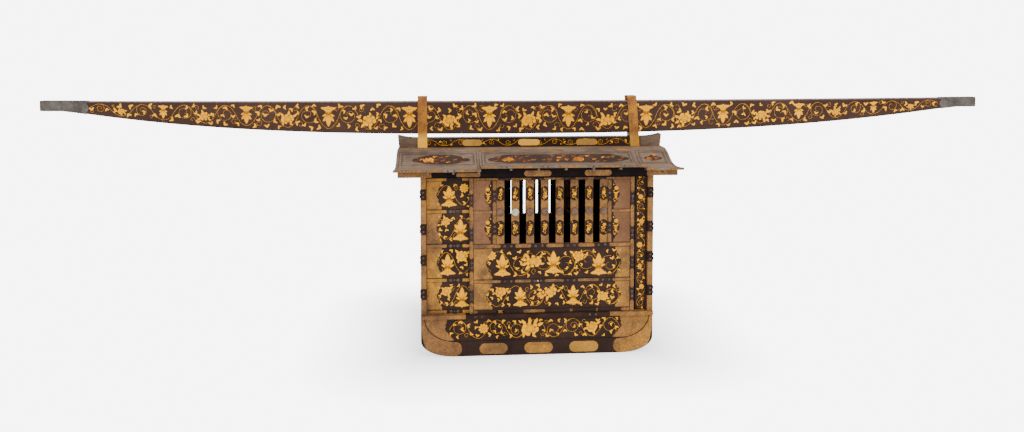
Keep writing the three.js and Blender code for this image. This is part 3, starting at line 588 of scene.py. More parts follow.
# lays a relief on a surface and makes it one piece; surface turns (u, v, h) arrays into x, y, z in mm;
# what is named for the rear side or the left end is laid out as for the other one and turned by half a turn
def makePiece(name, relief, surface, finish, body="carriage", shift=cabinShift):
    if not relief.size:
        return
    flat = np.concatenate(relief.points)
    faces = np.concatenate(relief.faces)
    points = np.stack(surface(flat[:, 0], flat[:, 1], flat[:, 2]), 1)
    if name.startswith(("rear_", "pole_rear_", "left_")):
        points[:, :2] *= -1
    points += (shift, 0, datum)
    mesh = bpy.data.meshes.new(name)
    mesh.vertices.add(len(points))
    mesh.vertices.foreach_set("co", (points * 0.001).astype(np.float32).ravel())
    mesh.loops.add(faces.size)
    mesh.loops.foreach_set("vertex_index", faces.astype(np.int32).ravel())
    mesh.polygons.add(len(faces))
    mesh.polygons.foreach_set("loop_start", np.arange(0, faces.size, 3, dtype=np.int32))
    mesh.update(calc_edges=True)
    mesh.polygons.foreach_set("use_smooth", np.full(len(faces), finish in turnedFinishes))
    tone = mesh.attributes.new("tone", "FLOAT", "POINT")  # dark at the rims, for the lines between petals
    tone.data.foreach_set("value", np.concatenate(relief.tones).astype(np.float32))
    mesh.materials.append(mats[finish])
    piece = addObject(name, mesh)
    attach(piece, body)
    total["pieces"] += 1
    total["triangles"] += len(faces)


# outlines, each around its own middle and one unit across
def leafOutline(wide):
    t = circle(10)
    return pair(0.5 * np.cos(t), wide * np.sin(t) * (1 - 0.45 * np.cos(t)))


# two thick lobes of unlike length at about a right angle, as a radius over the angle
def twinOutline():
    t = circle(18)
    lobe = lambda at, wide: np.exp(-((np.angle(np.exp(1j * (t - at)))) / wide) ** 2)
    r = 0.17 + 0.40 * lobe(-0.1, 0.46) + 0.36 * lobe(1.65, 0.44)
    return pair(r * np.cos(t) - 0.12, r * np.sin(t) - 0.10)


def petalOutline():
    t = circle(12)
    r = 0.5 * (1 + 0.10 * np.cos(2 * t) - 0.07 * np.cos(5 * t))
    return pair(r * np.cos(t), 0.86 * r * np.sin(t))


def raggedOutline(lobes=9):
    t = circle(lobes * 4)
    r = 0.5 * (0.86 + 0.14 * np.cos(lobes * t) + 0.05 * np.cos(2 * t + 0.6))
    return pair(r * np.cos(t), r * np.sin(t))


leaf, thinLeaf = leafOutline(0.24), leafOutline(0.15)
twin, petal, ragged = twinOutline(), petalOutline(), raggedOutline()
# the side view of a bellflower's cup, wide at the mouth and drawn to a point below: one half, and its mirror image
bellHalf = [(0.12, -0.30), (0.22, -0.06), (0.31, 0.17), (0.42, 0.33), (0.30, 0.40), (0.15, 0.34)]
bell = np.array([(0.0, -0.46), *bellHalf, (0.0, 0.40), *[(-u, v) for u, v in bellHalf[::-1]]])


# lays stamps at places given from a blossom's middle, for a blossom of this size and turn
def blossomAt(relief, u, v, size, turn):
    c, s = math.cos(turn), math.sin(turn)

    def put(outline, du, dv, angle, scale, high, crown, inner=1.0):
        du, dv = np.atleast_1d(du) * size, np.atleast_1d(dv) * size
        place = (u + du * c - dv * s, v + du * s + dv * c, np.asarray(angle) + turn)
        relief.stamps(outline, *place, scale * size, high, crown, inner=inner)

    return put


# peony: a ground of wide lobes, rings of petals that step up to the middle, and pointed leaves to one side of it
def addPeony(relief, rng, u, v, size, turn=0.0, wide=1.2, leaves=3):
    put = blossomAt(relief, u, v, 0.86 * size, turn)

    def ring(outline, radius, angle, scale, high, crown, extra=0.0, inner=1.0):
        angle = np.atleast_1d(angle)
        du, dv = radius * wide * np.cos(angle), radius * np.sin(angle)
        put(outline, du, dv, angle + extra, scale, high, crown, inner)

    out = rng.uniform(0, tau)
    step = lambda count, low: low + 0.09 * (np.arange(count) % 3)
    across = 1.57  # about a quarter turn
    ring(leaf, 0.56, out + np.linspace(-0.62, 0.62, leaves) * 1.4, 0.46, 0.25, 0.40)
    ring(leaf, 0.52, np.array([out + 2.7, out - 2.5]), 0.34, 0.25, 0.40, 0.5)
    lobes = out + 0.3 + circle(7) + rng.uniform(-0.12, 0.12, 7)
    ring(petal, 0.33, lobes, rng.uniform(0.24, 0.44, 7), step(7, 0.35), step(7, 0.50), across)
    scale = rng.uniform(0.30, 0.36, 5)
    ring(petal, 0.16, out + 0.85 + circle(5), scale, step(5, 0.80), step(5, 0.95), across, 0.40)
    ring(petal, 0.075, out + circle(3), 0.20, step(3, 1.25), step(3, 1.40), across)
    ring(petal, 0.0, 0.4, 0.11, 1.65, 1.80, 0.0, 0.5)


# round blossom seen from the front: rings of narrow petals
def addRound(relief, rng, u, v, size):
    relief.stamps(ragged, u, v, 0.0, 0.92 * size, 0.25, 0.40)
    for count, radius, scale, high, inner in ((9, 0.33, 0.32, 0.45, 1.0), (6, 0.16, 0.26, 0.85, 0.4)):
        angle = circle(count)
        level = high + 0.08 * (np.arange(count) % 3)
        place = (u + radius * size * np.cos(angle), v + radius * size * np.sin(angle), angle)
        relief.stamps(petal, *place, scale * size, level, level + 0.12, inner=inner)
    relief.stamps(petal, u, v, 0.0, 0.20 * size, 1.2, 1.4)


# bellflower from the side, its mouth towards the turn: cup, curled brim, ribs, a pair of leaves and a pointed bud
def addBell(relief, rng, u, v, size, turn=0.0):
    put = blossomAt(relief, u, v, size, turn)
    down = -math.pi / 2
    put(leaf, [-0.16, 0.16], [-0.12, -0.12], [down - 0.75, down + 0.75], 0.40, 0.30, 0.42)
    put(leaf, [-0.21, 0.21], [0.06, 0.06], [down - 1.2, down + 1.2], 0.25, 0.50, 0.60)
    put(leaf, 0.0, -0.24, down, 0.62, 0.70, 0.85)
    put(bell, 0.0, 0.17, 0.0, 0.58, 0.95, 1.05)
    ribs = ([-0.12, -0.04, 0.04, 0.12], [0.20, 0.16, 0.16, 0.20], [1.95, 1.68, 1.46, 1.19])
    put(thinLeaf, *ribs, 0.26, 1.06, 1.12, 0.0)
    put(leaf, [-0.24, 0.24], [0.42, 0.42], [math.pi - 0.2, 0.2], 0.34, 1.15, 1.28)
    brim = ([-0.11, 0.0, 0.11], [0.42, 0.46, 0.42], [1.9, math.pi / 2, 1.24])
    put(petal, *brim, 0.19, [1.3, 1.4, 1.3], [1.4, 1.5, 1.4])


addBlossom = {"peony": addPeony, "round": addRound, "bell": addBell}


# a spiral: the angle runs by turns while the radius shrinks from r to inner * r
def spiral(u, v, r, start, turns, inner=0.2, stations=30):
    t = np.linspace(0, 1, stations)
    radius = r * (1 - (1 - inner) * t ** 1.5)
    angle = start + tau * turns * t
    return pair(u + radius * np.cos(angle), v + radius * np.sin(angle))


# those of the spots, in their order, that keep this gap from all that were kept before
def spacedOut(spots, gap):
    kept = []
    for spot in spots:
        if all((spot[0] - a) ** 2 + (spot[1] - b) ** 2 > gap ** 2 for a, b in kept):
            kept.append(tuple(spot))
    return np.array(kept)


# vine scroll: a wave along the band whose height is a softened sine, in each free bay a ring that curls inwards,
# small curls, blossoms, and twin leaves scattered near the vines. Each blossom is a kind, place, size and how it
# lies; half is the band's half height, a number or a function of u.
def scrollBand(
        relief, seed, ends, half, blossoms, bay=1.5, vine=1.2, leafSize=18.0, gap=25.0, wave=0.80, fill=1.0,
        phase=1.0):
    rng = np.random.default_rng(seed)
    u0, u1 = ends
    level = half
    if not callable(half):
        half = lambda u: np.full(np.shape(u), float(level))
    middle = float(half((u0 + u1) / 2))
    bays = max(1, round((u1 - u0) / (bay * middle)))
    width = (u1 - u0) / bays
    u = np.linspace(u0, u1, max(24, int((u1 - u0) / 6)))
    s = np.sin(math.pi * (u - u0) / width)
    taken = []

    def addVine(path, widths, high):
        taken.append(path)
        relief.ribbons(path, np.linspace(*widths, len(path)), high)

    addVine(pair(u, phase * wave * half(u) * np.sign(s) * np.abs(s) ** 0.8), (vine, vine), 0.55)
    for k in range(bays):
        bayU = u0 + (k + 0.5) * width
        h = float(half(bayU))
        sign = phase * (1 if k % 2 == 0 else -1)
        r = min(0.70 * h, 0.47 * width)
        if not any(abs(b[1] - bayU) < 0.30 * width for b in blossoms):
            turns = sign * rng.choice([-1, 1]) * rng.uniform(1.2, 1.5)
            path = spiral(bayU, sign * (wave * h - r), r, sign * math.pi / 2, turns, 0.18, 40)
            addVine(path, (vine, 0.7 * vine), 0.6)
        way = rng.choice([-1, 1])
        curl = (rng.uniform(0.16, 0.26) * h, rng.uniform(0, tau), way * rng.uniform(0.8, 1.2))
        path = spiral(bayU + way * 0.40 * width, -sign * 0.55 * h, *curl, 0.25, 20)
        addVine(path, (0.9 * vine, 0.7 * vine), 0.5)
    for kind, *how in blossoms:
        addBlossom[kind](relief, rng, *how)
    vines = np.concatenate(taken)
    area = (u1 - u0) * 2 * middle
    spots = rng.uniform((u0, -1), (u1, 1), (int(16 * area / gap ** 2), 2))
    spots[:, 1] *= half(spots[:, 0]) - 0.42 * leafSize
    toVine = np.sqrt(((spots[:, None] - vines[None, ::2]) ** 2).sum(2)).min(1)
    free = (toVine > 0.30 * leafSize) & (toVine < 2.0 * leafSize)
    for kind, bu, bv, size, *how in blossoms:
        free &= np.hypot(spots[:, 0] - bu, spots[:, 1] - bv) - 0.56 * size > 0.25 * leafSize
    kept = spacedOut(spots[free], gap)
    kept = kept[: int(len(kept) * fill)]
    count = len(kept)
    if count:
        turn, scale = rng.uniform(0, tau, count), leafSize * rng.uniform(0.85, 1.2, count)
        flip = rng.choice([-1.0, 1.0], count)
        relief.stamps(twin, kept[:, 0], kept[:, 1], turn, scale, 0.6, 0.95, flip=flip, edge=0.35)


# how far a cusped edge reaches in at share t of its length: one wide lobe between two small ones
def cusps(t, deep):
    lobes = ((0.5, 0.17, 1.0), (0.30, 0.10, 0.66), (0.70, 0.10, 0.66), (0.17, 0.06, 0.28), (0.83, 0.06, 0.28))
    reach = [high * np.sqrt(np.clip(1 - ((t - middle) / wide) ** 2, 0, 1)) for middle, wide, high in lobes]
    return deep * np.maximum.reduce(reach)


# upright plate from v0 to v1 with one straight side at uStraight and a cusped side at uCusped
def cuspedPlate(relief, uStraight, uCusped, v0, v1, deep, high=0.9, rows=49):
    t = np.linspace(0, 1, rows)
    v = v0 + (v1 - v0) * t
    edge = uCusped + math.copysign(1, uStraight - uCusped) * cusps(t, deep)
    relief.plate(pair(uStraight, v), pair(edge, v), high)


# a sleeve or tablet from u0 to u1 whose ends are rounded, or drawn to a point by the share pointed, or cut straight
def tablet(relief, u0, u1, v0, v1, high=0.9, upright=False, left=True, right=True, pointed=0.0, end=None):
    tall = (v1 - v0) / 2
    end = min(end or tall, 0.45 * abs(u1 - u0))
    ramp = (1 - np.cos(np.linspace(0, math.pi / 2, 9))) * end
    u = np.concatenate([u0 + ramp, u1 - ramp[::-1]])
    near = np.concatenate([ramp, ramp[::-1]]) / end
    shape = np.sqrt(np.clip(1 - (1 - near) ** 2, 0, 1)) * (1 - pointed) + near * pointed
    if not left:
        shape[:9] = 1
    if not right:
        shape[9:] = 1
    reach = np.maximum(tall * shape, 0.25)
    middle = (v0 + v1) / 2
    low, top = pair(u, middle - reach), pair(u, middle + reach)
    if upright:
        low, top = low[:, ::-1], top[:, ::-1]
    relief.plate(low, top, high)


# gilt sleeves from start to stop along a bar that lies from v0 to v1, with a bare span around each of these places
def sleeveRun(relief, start, stop, v0, v1, spans, half, **shape):
    at = start
    for span in spans:
        tablet(relief, at, span - half, v0, v1, left=at > start, **shape)
        at = span + half
    tablet(relief, at, stop, v0, v1, right=False, **shape)


ball = [(0.86, -0.3), (1.0, 1.4), (0.92, 3.2), (0.62, 5.0), (0.0, 6.0)]
stud = [(1.0, -0.3), (0.9, 1.0), (0.5, 1.7), (0.0, 1.9)]
dome = [(1.0, 2.0), (1.0, 4.8), (0.90, 6.8), (0.62, 7.9), (0.0, 8.3)]

pole = {
    "length": 4850.0, "middleHeight": 169.0, "endHeight": 48.0, "depth": 66.0, "endDepth": 46.0, "topRise": 9.0,
    "taperLeft": 3.0, "taperRight": 2.55, "straightEnd": 120.0, "step": 80.0, "topZ": 1186.09,
    "pattern": (-2185.0, 2215.0), "border": 7.0, "scroll": {"bay": 1.31, "gap": 33.0, "leafSize": 31.0},
}


# height, half depth and top of the pole at x, straight between the rings of its solid
def poleAt(x):
    half = pole["length"] / 2
    rings = np.concatenate([[-half], np.arange(-30, 31) * pole["step"], [half]])
    share = np.minimum(1, np.abs(rings) / (half - pole["straightEnd"]))
    taper = share ** np.where(rings < 0, pole["taperLeft"], pole["taperRight"])
    height = pole["middleHeight"] + (pole["endHeight"] - pole["middleHeight"]) * taper
    deep = (pole["depth"] + (pole["endDepth"] - pole["depth"]) * taper) / 2
    top = pole["topZ"] + pole["topRise"] * (np.abs(rings) / half) ** 2
    return [np.interp(x, rings, a) for a in (height, deep, top)]


# one face of the pole; the rear one is the front one's place turned by half a turn, so its x runs the other way.
# The blossoms stand in every second bay of the scroll, bellflowers and peonies in turn.
def makePoleSide(name, seed, way, first):
    relief = Relief()
    u0, u1 = sorted(way * u for u in pole["pattern"])
    halfAt = lambda u: poleAt(way * u)[0] / 2 - pole["border"]
    bays = round((u1 - u0) / (pole["scroll"]["bay"] * float(halfAt((u0 + u1) / 2))))
    blossoms = []
    for k in range(1, bays - 1, 2):
        at = u0 + (k + 0.5) * (u1 - u0) / bays
        h = float(halfAt(at))
        bellflower = ("bell", at, 0.04 * h, 1.36 * h)
        peony = ("peony", at, -0.20 * h, 0.98 * h, 0.15, 1.35)
        blossoms.append(bellflower if (k // 2 + first) % 2 else peony)
    scrollBand(relief, seed, (u0, u1), halfAt, blossoms, phase=way, **pole["scroll"])

    def surface(u, v, h):
        height, deep, top = poleAt(way * u)
        return u, -(deep + h), top - height / 2 + v

    makePiece(name, relief, surface, "makie", shift=0.0)


makePoleSide("pole_front_vines", 11, 1, 0)
makePoleSide("pole_rear_vines", 12, -1, 1)
print("pole ready:", total)


# depths of the long side's faces, and the heights of the fixed wall's rails
side = {
    "skirtFace": -394.0, "skirtField": -390.0, "wallFace": -372.5, "wallPanel": -367.5, "jambFace": -372.5,
    "doorFace": -390.0, "doorBoard": -386.0, "slatFace": -386.0, "purlinFace": -447.0, "sillFace": -408.0,
    "rails": ((186.6, 203.2), (340.2, 356.8), (505.8, 522.4), (671.4, 688.0), (826.0, 842.3)),
    "top": 841.0,
}


# an upright face of the long side, seen from the front; share flattens what lies on it
def faceAt(place, proud=0.0, share=1.0):
    return lambda u, v, h: (u, side[place] - proud - share * h, v)


# the field's lower corners are quarters of an ellipse, and so are the corner plates' outer edges
skirt = {
    "vines": (-425.0, 400.0), "middle": 111.0, "half": 51.0,
    "blossoms": [("round", -262, 4, 50), ("peony", -36, -2, 88, 0.15, 1.3, 4), ("peony", 262, 2, 66, 0.4, 1.2, 2)],
    "innerX": 393.0, "innerZ": 168.0, "innerWide": 150.0, "innerHigh": 113.0,
    "outerX": 398.5, "outerZ": 61.0, "outerWide": 160.0, "outerHigh": 76.4, "top": 165.0, "pointZ": 19.0,
    "ends": ((-1, "left", 410.0, 364.5, "giltDull"), (1, "right", 373.0, 366.0, "giltWarm")),
    "plates": (58.5, 167.0), "lean": 36.0, "cusp": 24.0, "climbFrom": 0.62,
    "tablets": ((-281, -146), (-65, 73), (153, 294)), "tabletRows": (-8.0, 43.5),
    "scroll": {"bay": 1.85, "gap": 29.0, "leafSize": 25.0, "wave": 0.86},
}


def makeSkirt(name, seed):
    band, mounts, tablets = Relief(), Relief(), Relief()
    scrollBand(band, seed, skirt["vines"], skirt["half"], skirt["blossoms"], **skirt["scroll"])
    field = lambda u, v, h: (u, side["skirtField"] - h, v + skirt["middle"])
    makePiece(f"{name}_skirt_vines", band, field, "makie")

    t = np.linspace(0, 1, 41)
    z = skirt["plates"][0] + (skirt["plates"][1] - skirt["plates"][0]) * t
    down = np.clip((skirt["innerZ"] - z) / skirt["innerHigh"], 0, 1)
    arc = skirt["innerX"] + skirt["innerWide"] * np.sqrt(1 - down ** 2)
    angle = np.linspace(0, math.pi / 2, 37)
    run = np.linspace(0, 1, 7)[:-1]
    swell = np.sqrt(np.clip(1 - (1 - run) ** 2, 0, 1))
    corners = []
    for way, label, inner, point, finish in skirt["ends"]:
        cut = inner + skirt["lean"] * (t - 0.2) + cusps(t, skirt["cusp"])
        mounts.plate(pair(way * np.maximum(arc - 1.2, cut + 0.6), z), pair(way * cut, z), 0.9)

        # the corner plate lies between two arcs, both led in from a rounded point on the left of them
        low = Relief()
        innerX = skirt["innerX"] + skirt["innerWide"] * np.sin(angle) + 1.4
        innerZ = skirt["innerZ"] - skirt["innerHigh"] * np.cos(angle) - 1.4
        outerX = skirt["outerX"] + skirt["outerWide"] * np.sin(angle)
        outerZ = skirt["outerZ"] - skirt["outerHigh"] * np.cos(angle)
        # the outer edge climbs to the top of the board once it is past the corner's curve
        past = (angle / (math.pi / 2) - skirt["climbFrom"]) / (1 - skirt["climbFrom"])
        climb = np.clip(past, 0, 1) ** 1.6
        outerZ += (skirt["top"] - skirt["outerZ"]) * climb
        edges = []
        for x, height, gap in ((innerX, innerZ, 0.3), (outerX, outerZ, -0.3)):
            leadX = point * (1 - run) + x[0] * run
            leadZ = skirt["pointZ"] + (height[0] - skirt["pointZ"]) * swell + gap
            edges.append(pair(way * np.concatenate([leadX, x]), np.concatenate([leadZ, height])))
        low.plate(*edges, 0.9)
        corners.append((label, low, finish))
    makePiece(f"{name}_skirt_end_plates", mounts, faceAt("skirtField"), "gilt")
    for label, low, finish in corners:
        makePiece(f"{name}_skirt_corner_plate_{label}", low, faceAt("skirtFace"), finish)
    for ends in skirt["tablets"]:
        tablet(tablets, *ends, *skirt["tabletRows"], 1.0)
    makePiece(f"{name}_skirt_tablets", tablets, faceAt("skirtFace"), "giltTablet")


wall = {
    "rows": ((203.2, 340.2), (356.8, 505.8), (522.4, 671.4), (688.0, 826.0)),
    "left": -531.5, "plateEdge": -459.5, "doorEdge": -318.0, "vineEdge": -478.0, "sleeves": (-436.7, -361.0),
    "ballX": (-417.0, -383.0), "ballRadius": 8.2, "studX": -400.0, "studRadius": 4.6, "cusp": 25.0,
    "scroll": {"bay": 1.15, "gap": 24.0, "leafSize": 23.0, "wave": 0.74},
    # the blossoms of each row from below
    "blossoms": (
        [("bell", -364, -8, 92, math.pi), ("peony", -438, 22, 56, 0.8, 1.1, 2)],
        [("bell", -432, -8, 98, math.pi), ("peony", -362, 32, 66, 0.1, 1.2, 2)],
        [("bell", -370, -6, 100, math.pi), ("peony", -440, 34, 50, 0.5, 1.1, 2)],
        [("bell", -424, -4, 96, math.pi), ("round", -352, 34, 46)],
    ),
}
jamb = {
    "ends": (192.0, 838.0), "middle": 504.5, "half": 23.0,
    "blossoms": [
        ("round", 505, 6, 30), ("peony", 620, -4, 27), ("round", 300, -5, 26), ("peony", 400, 4, 26),
        ("round", 740, 2, 26)],
    "scroll": {"bay": 2.6, "gap": 24.0, "leafSize": 17.0, "vine": 1.1},
}


# the vines of one panel row of the wall or the door, worked out around its middle and then moved up
def addRow(vines, seed, row, ends, panels, phase):
    cell = Relief()
    z0, z1 = panels["rows"][row]
    scrollBand(cell, seed + row, ends, (z1 - z0) / 2 - 6, panels["blossoms"][row], phase=phase, **panels["scroll"])
    vines.join(cell, (z0 + z1) / 2)


def makeWalls(name, seed):
    plates, rails, knobs, vines, strip = [Relief() for _ in range(5)]
    for row, (z0, z1) in enumerate(wall["rows"]):
        cuspedPlate(plates, wall["left"], wall["plateEdge"], z0 + 1, z1 - 1, wall["cusp"])
        addRow(vines, seed, row, (wall["vineEdge"], wall["doorEdge"]), wall, 1 if row % 2 else -1)
    for row, (z0, z1) in enumerate(side["rails"]):
        first, second = wall["sleeves"]
        for ends in ((wall["left"], first), (second, wall["doorEdge"])):
            tablet(rails, *ends, z0 + 1, min(z1 - 1, side["top"]), 1.0, left=False, right=False)
        if row < 4:
            middle = (z0 + z1) / 2
            knobs.knobs(wall["ballX"], middle, wall["ballRadius"], ball)
            knobs.knobs(wall["studX"], middle, wall["studRadius"], stud)
    makePiece(f"{name}_wall_plates", plates, faceAt("wallPanel"), "giltBright")
    makePiece(f"{name}_wall_vines", vines, faceAt("wallPanel"), "makie")
    clear = lambda u, v, h: (u, side["wallFace"] - 0.9 * np.minimum(h, 1.0), v)
    makePiece(f"{name}_wall_rail_sleeves", rails, clear, "giltBright")
    # the door passes 1.5 mm in front of the rails, so their knobs stay flat
    makePiece(f"{name}_wall_rail_knobs", knobs, faceAt("wallFace", share=0.18), "knob")

    scrollBand(strip, seed + 9, jamb["ends"], jamb["half"], jamb["blossoms"], **jamb["scroll"])
    onJamb = lambda u, v, h: (jamb["middle"] - v, side["jambFace"] - h, u)
    makePiece(f"{name}_jamb_vines", strip, onJamb, "makie")


beam = {
    "postX": (-546.5, 546.5), "collarGap": 11.0, "low": 856.0, "top": 874.5, "ovalTop": 884.0,
    "ovals": ((-71, 58), (216, 345)),
    "mounts": ((-391, -277, True, True), (-662, -506, False, True), (514, 662, True, False)),
    "sillStuds": (-300, -270, 250, 280), "sillMiddle": 177.3, "postStud": 5.2, "sillStud": 5.4,
}


def makePostsAndBeams(name):
    studs, beams, sills = Relief(), Relief(), Relief()
    for middle in (1000 * z - datum for z in postSpans):
        for x in beam["postX"]:
            heights = [middle - beam["collarGap"], middle + beam["collarGap"]]
            studs.knobs(x, heights, beam["postStud"], stud)
    makePiece(f"{name}_post_studs", studs, faceAt("skirtFace", 3.5), "knob")
    for u0, u1 in beam["ovals"]:
        tablet(beams, u0, u1, beam["low"], beam["ovalTop"])
    for u0, u1, left, right in beam["mounts"]:
        tablet(beams, u0, u1, beam["low"], beam["top"], left=left, right=right)
    makePiece(f"{name}_purlin_mounts", beams, faceAt("purlinFace"), "giltDull")
    sills.knobs(beam["sillStuds"], beam["sillMiddle"], beam["sillStud"], stud)
    makePiece(f"{name}_sill_studs", sills, faceAt("sillFace"), "knob")


for name, seed in (("front", 21), ("rear", 61)):
    makeSkirt(name, seed)
    makeWalls(name, seed + 1)
    makePostsAndBeams(name)
print("sides ready:", total)


door = {
    "left": -328.5, "right": 468.5, "stile": 20.0, "windowLeft": -198.5, "windowRight": 338.5, "windowStile": 18.5,
    "rows": ((204.6, 333.6), (350.6, 502.6)), "windowBottom": 522.6, "windowTop": 829.6,
    "bottom": 187.5, "top": 841.0, "sleeveTop": 828.0,
    # gilt sleeves on the frame leave dark spans with two knobs each
    "stileSpans": (270.0, 423.0, 568.0, 735.0), "windowSpans": (596.0, 754.0), "spanHalf": 29.0, "windowSpanHalf": 27.0,
    "ballRadius": 8.0, "smallBall": 7.4, "studRadius": 3.6, "rivet": (0.0, 342.0, 4.5), "cusp": 30.0,
    "scroll": {"bay": 1.5, "gap": 28.0, "leafSize": 25.0, "wave": 0.84},
    # each rail: bottom, top, its dark spans and their half width
    "rails": (
        (830.6, 841.0, (-160.0, 0.0, 150.0, 300.0), 30.0),
        (503.6, 521.6, (-144.0, 5.0, 160.0, 310.0), 36.0),
        (334.6, 349.6, (-144.0, 0.0, 160.0, 330.0), 34.0),
        (187.5, 203.6, (-230.0, -130.0, 95.0, 230.0, 345.0), 60.0),
    ),
    "batten": (670.6, 683.6), "vines": (-244.0, 402.0), "plates": ((-307.5, -219.0), (447.5, 377.0)),
    "blossoms": (
        [("peony", -180, 20, 58, 0.5, 1.3, 2), ("bell", -84, -4, 90, math.pi), ("peony", 56, 18, 70, 0.1, 1.5, 4),
         ("bell", 172, 2, 90, math.pi), ("peony", 316, -8, 56, -0.2, 1.2, 2)],
        [("bell", -170, -6, 102, math.pi), ("round", -222, 40, 46), ("peony", -20, 10, 82, 0.1, 1.25, 4),
         ("bell", 76, 4, 104, math.pi), ("peony", 196, 32, 60, -0.5, 1.3, 2), ("bell", 296, -8, 102, math.pi)],
    ),
    "strips": ((-1, -218.0), (1, 358.0)), "stripRows": ((524.0, 669.5), (684.5, 828.5)),
    "slats": 8, "slatFirst": -198.2, "slatPitch": 71.23, "slatWidth": 37.5,
    "slatRows": ((728.0, 800.0), (558.0, 636.0)), "tabletHalf": 18.2,
    "bossZ": 676.1, "bossRadius": 18.4, "linerHalf": 30.4, "linerFace": -376.9,
}


def makeDoorFrame(name):
    sleeves, knobs, rivets = Relief(), Relief(), Relief()
    upright = {"upright": True, "pointed": 0.5}
    stile, windowStile = door["stile"], door["windowStile"]
    for x0 in (door["left"], door["right"] - stile):
        across = (x0 + 1, x0 + stile - 1)
        sleeveRun(sleeves, door["bottom"], door["top"], *across, door["stileSpans"], door["spanHalf"], **upright)
        for span in door["stileSpans"]:
            knobs.knobs(x0 + stile / 2, [span - 12, span + 12], door["ballRadius"], ball)
            knobs.knobs(x0 + stile / 2, span, door["studRadius"], stud)
    for x0 in (door["windowLeft"] - windowStile, door["windowRight"]):
        bottom, across = door["windowBottom"] + 2, (x0 + 1, x0 + windowStile - 1)
        sleeveRun(
            sleeves, bottom, door["sleeveTop"], *across, door["windowSpans"], door["windowSpanHalf"], **upright)
        for span in door["windowSpans"]:
            knobs.knobs(x0 + 9, [span - 11, span + 11], door["smallBall"], ball)
    inner0, inner1 = door["left"] + stile + 1, door["right"] - stile - 1
    for v0, v1, spans, half in door["rails"]:
        sleeveRun(sleeves, inner0, inner1, v0 + 0.6, v1 - 0.6, spans, half)
        for span in spans if half < 50 else ():
            radius = min(door["smallBall"], (v1 - v0) / 2 - 0.6)
            knobs.knobs([span - 0.45 * half, span + 0.45 * half], (v0 + v1) / 2, radius, ball)
    v0, v1 = door["batten"]
    left, right = door["windowLeft"] - windowStile - 1, door["windowRight"] + windowStile + 1
    for ends in ((inner0, left), (right, inner1)):
        tablet(sleeves, *ends, v0 + 0.6, v1 - 0.6, left=False, right=False)
    rivets.knobs(*door["rivet"], stud)
    body = f"{name}_door"
    makePiece(f"{body}_sleeves", sleeves, faceAt("doorFace"), "giltDull", body)
    makePiece(f"{body}_knobs", knobs, faceAt("doorFace"), "knob", body)
    makePiece(f"{body}_rivets", rivets, faceAt("doorFace", 0.2), "rivet", body)


def makeDoorBoards(name, seed, vines):
    plates, strips = Relief(), Relief()
    for row, (z0, z1) in enumerate(door["rows"]):
        for straight, cusped in door["plates"]:
            cuspedPlate(plates, straight, cusped, z0 + 1, z1 - 1, door["cusp"])
        addRow(vines, seed, row, door["vines"], door, 1 if row else -1)
    makePiece(f"{name}_door_end_plates", plates, faceAt("doorBoard"), "gilt", f"{name}_door")

    # dark cusped strips beside the window, each with a sprig
    t = np.linspace(0, 1, 41)
    for way, u in door["strips"]:
        for z0, z1 in door["stripRows"]:
            v = z0 + (z1 - z0) * t
            strips.plate(pair(u, v), pair(u + way * (9.0 + cusps(t, door["cusp"])), v), 0.5)
            middle = (z0 + z1) / 2
            rng = np.random.default_rng(seed + int(z0) + way)
            addRound(vines, rng, u + way * 22, middle + 30, 21)
            addBell(vines, rng, u + way * 20, middle - 6, 30)
            leafU = u + way * np.array([9, 30, 14, 26, 10.0])
            leafV = middle + np.array([48, 12, -34, -22, 16.0])
            vines.stamps(twin, leafU, leafV, rng.uniform(0, tau, 5), 11.0, 1.1, 1.4, low=0.2)
            vines.ribbons(spiral(u + way * 17, middle - 26, 10.0, 0.5, way * 1.1, 0.3, 18), 1.6, 1.0, low=0.2)
    makePiece(f"{name}_door_side_strips", strips, faceAt("doorBoard"), "black", f"{name}_door")


# one black tablet of a slat with its sprig: a ragged blossom, a round one, a few leaves and two curls
def addSlatTablet(tablets, vines, rng, x, z0, z1):
    edges = (x - door["tabletHalf"], x + door["tabletHalf"])
    tablet(tablets, z0, z1, *edges, 0.5, upright=True, pointed=0.7, end=9.0)
    middle = (z0 + z1) / 2
    place = (x + rng.uniform(-5, 5), middle + rng.uniform(-18, 18), rng.uniform(0, tau))
    vines.stamps(ragged, *place, 15.0, 1.1, 1.5, low=0.2)
    angle = circle(5)
    petalV = middle + rng.uniform(-4, 4) + 6 * np.sin(angle)
    vines.stamps(petal, x + 6 * np.cos(angle), petalV, 0.0, 6.5, 1.3, 1.7, low=0.2)
    leafU = x + rng.uniform(-10, 10, 7)
    leafV = middle + np.linspace(-26, 26, 7) + rng.uniform(-2, 2, 7)
    turn, flip = rng.uniform(0, tau, 7), rng.choice([-1.0, 1.0], 7)
    vines.stamps(twin, leafU, leafV, turn, 9.5, 1.0, 1.3, low=0.2, flip=flip)
    for du, dv, turns in ((3, 12, 1.2), (-3, -14, -1.2)):
        vines.ribbons(spiral(x + du, middle + dv, 9.0, rng.uniform(0, tau), turns, 0.3, 18), 1.5, 0.9, low=0.2)


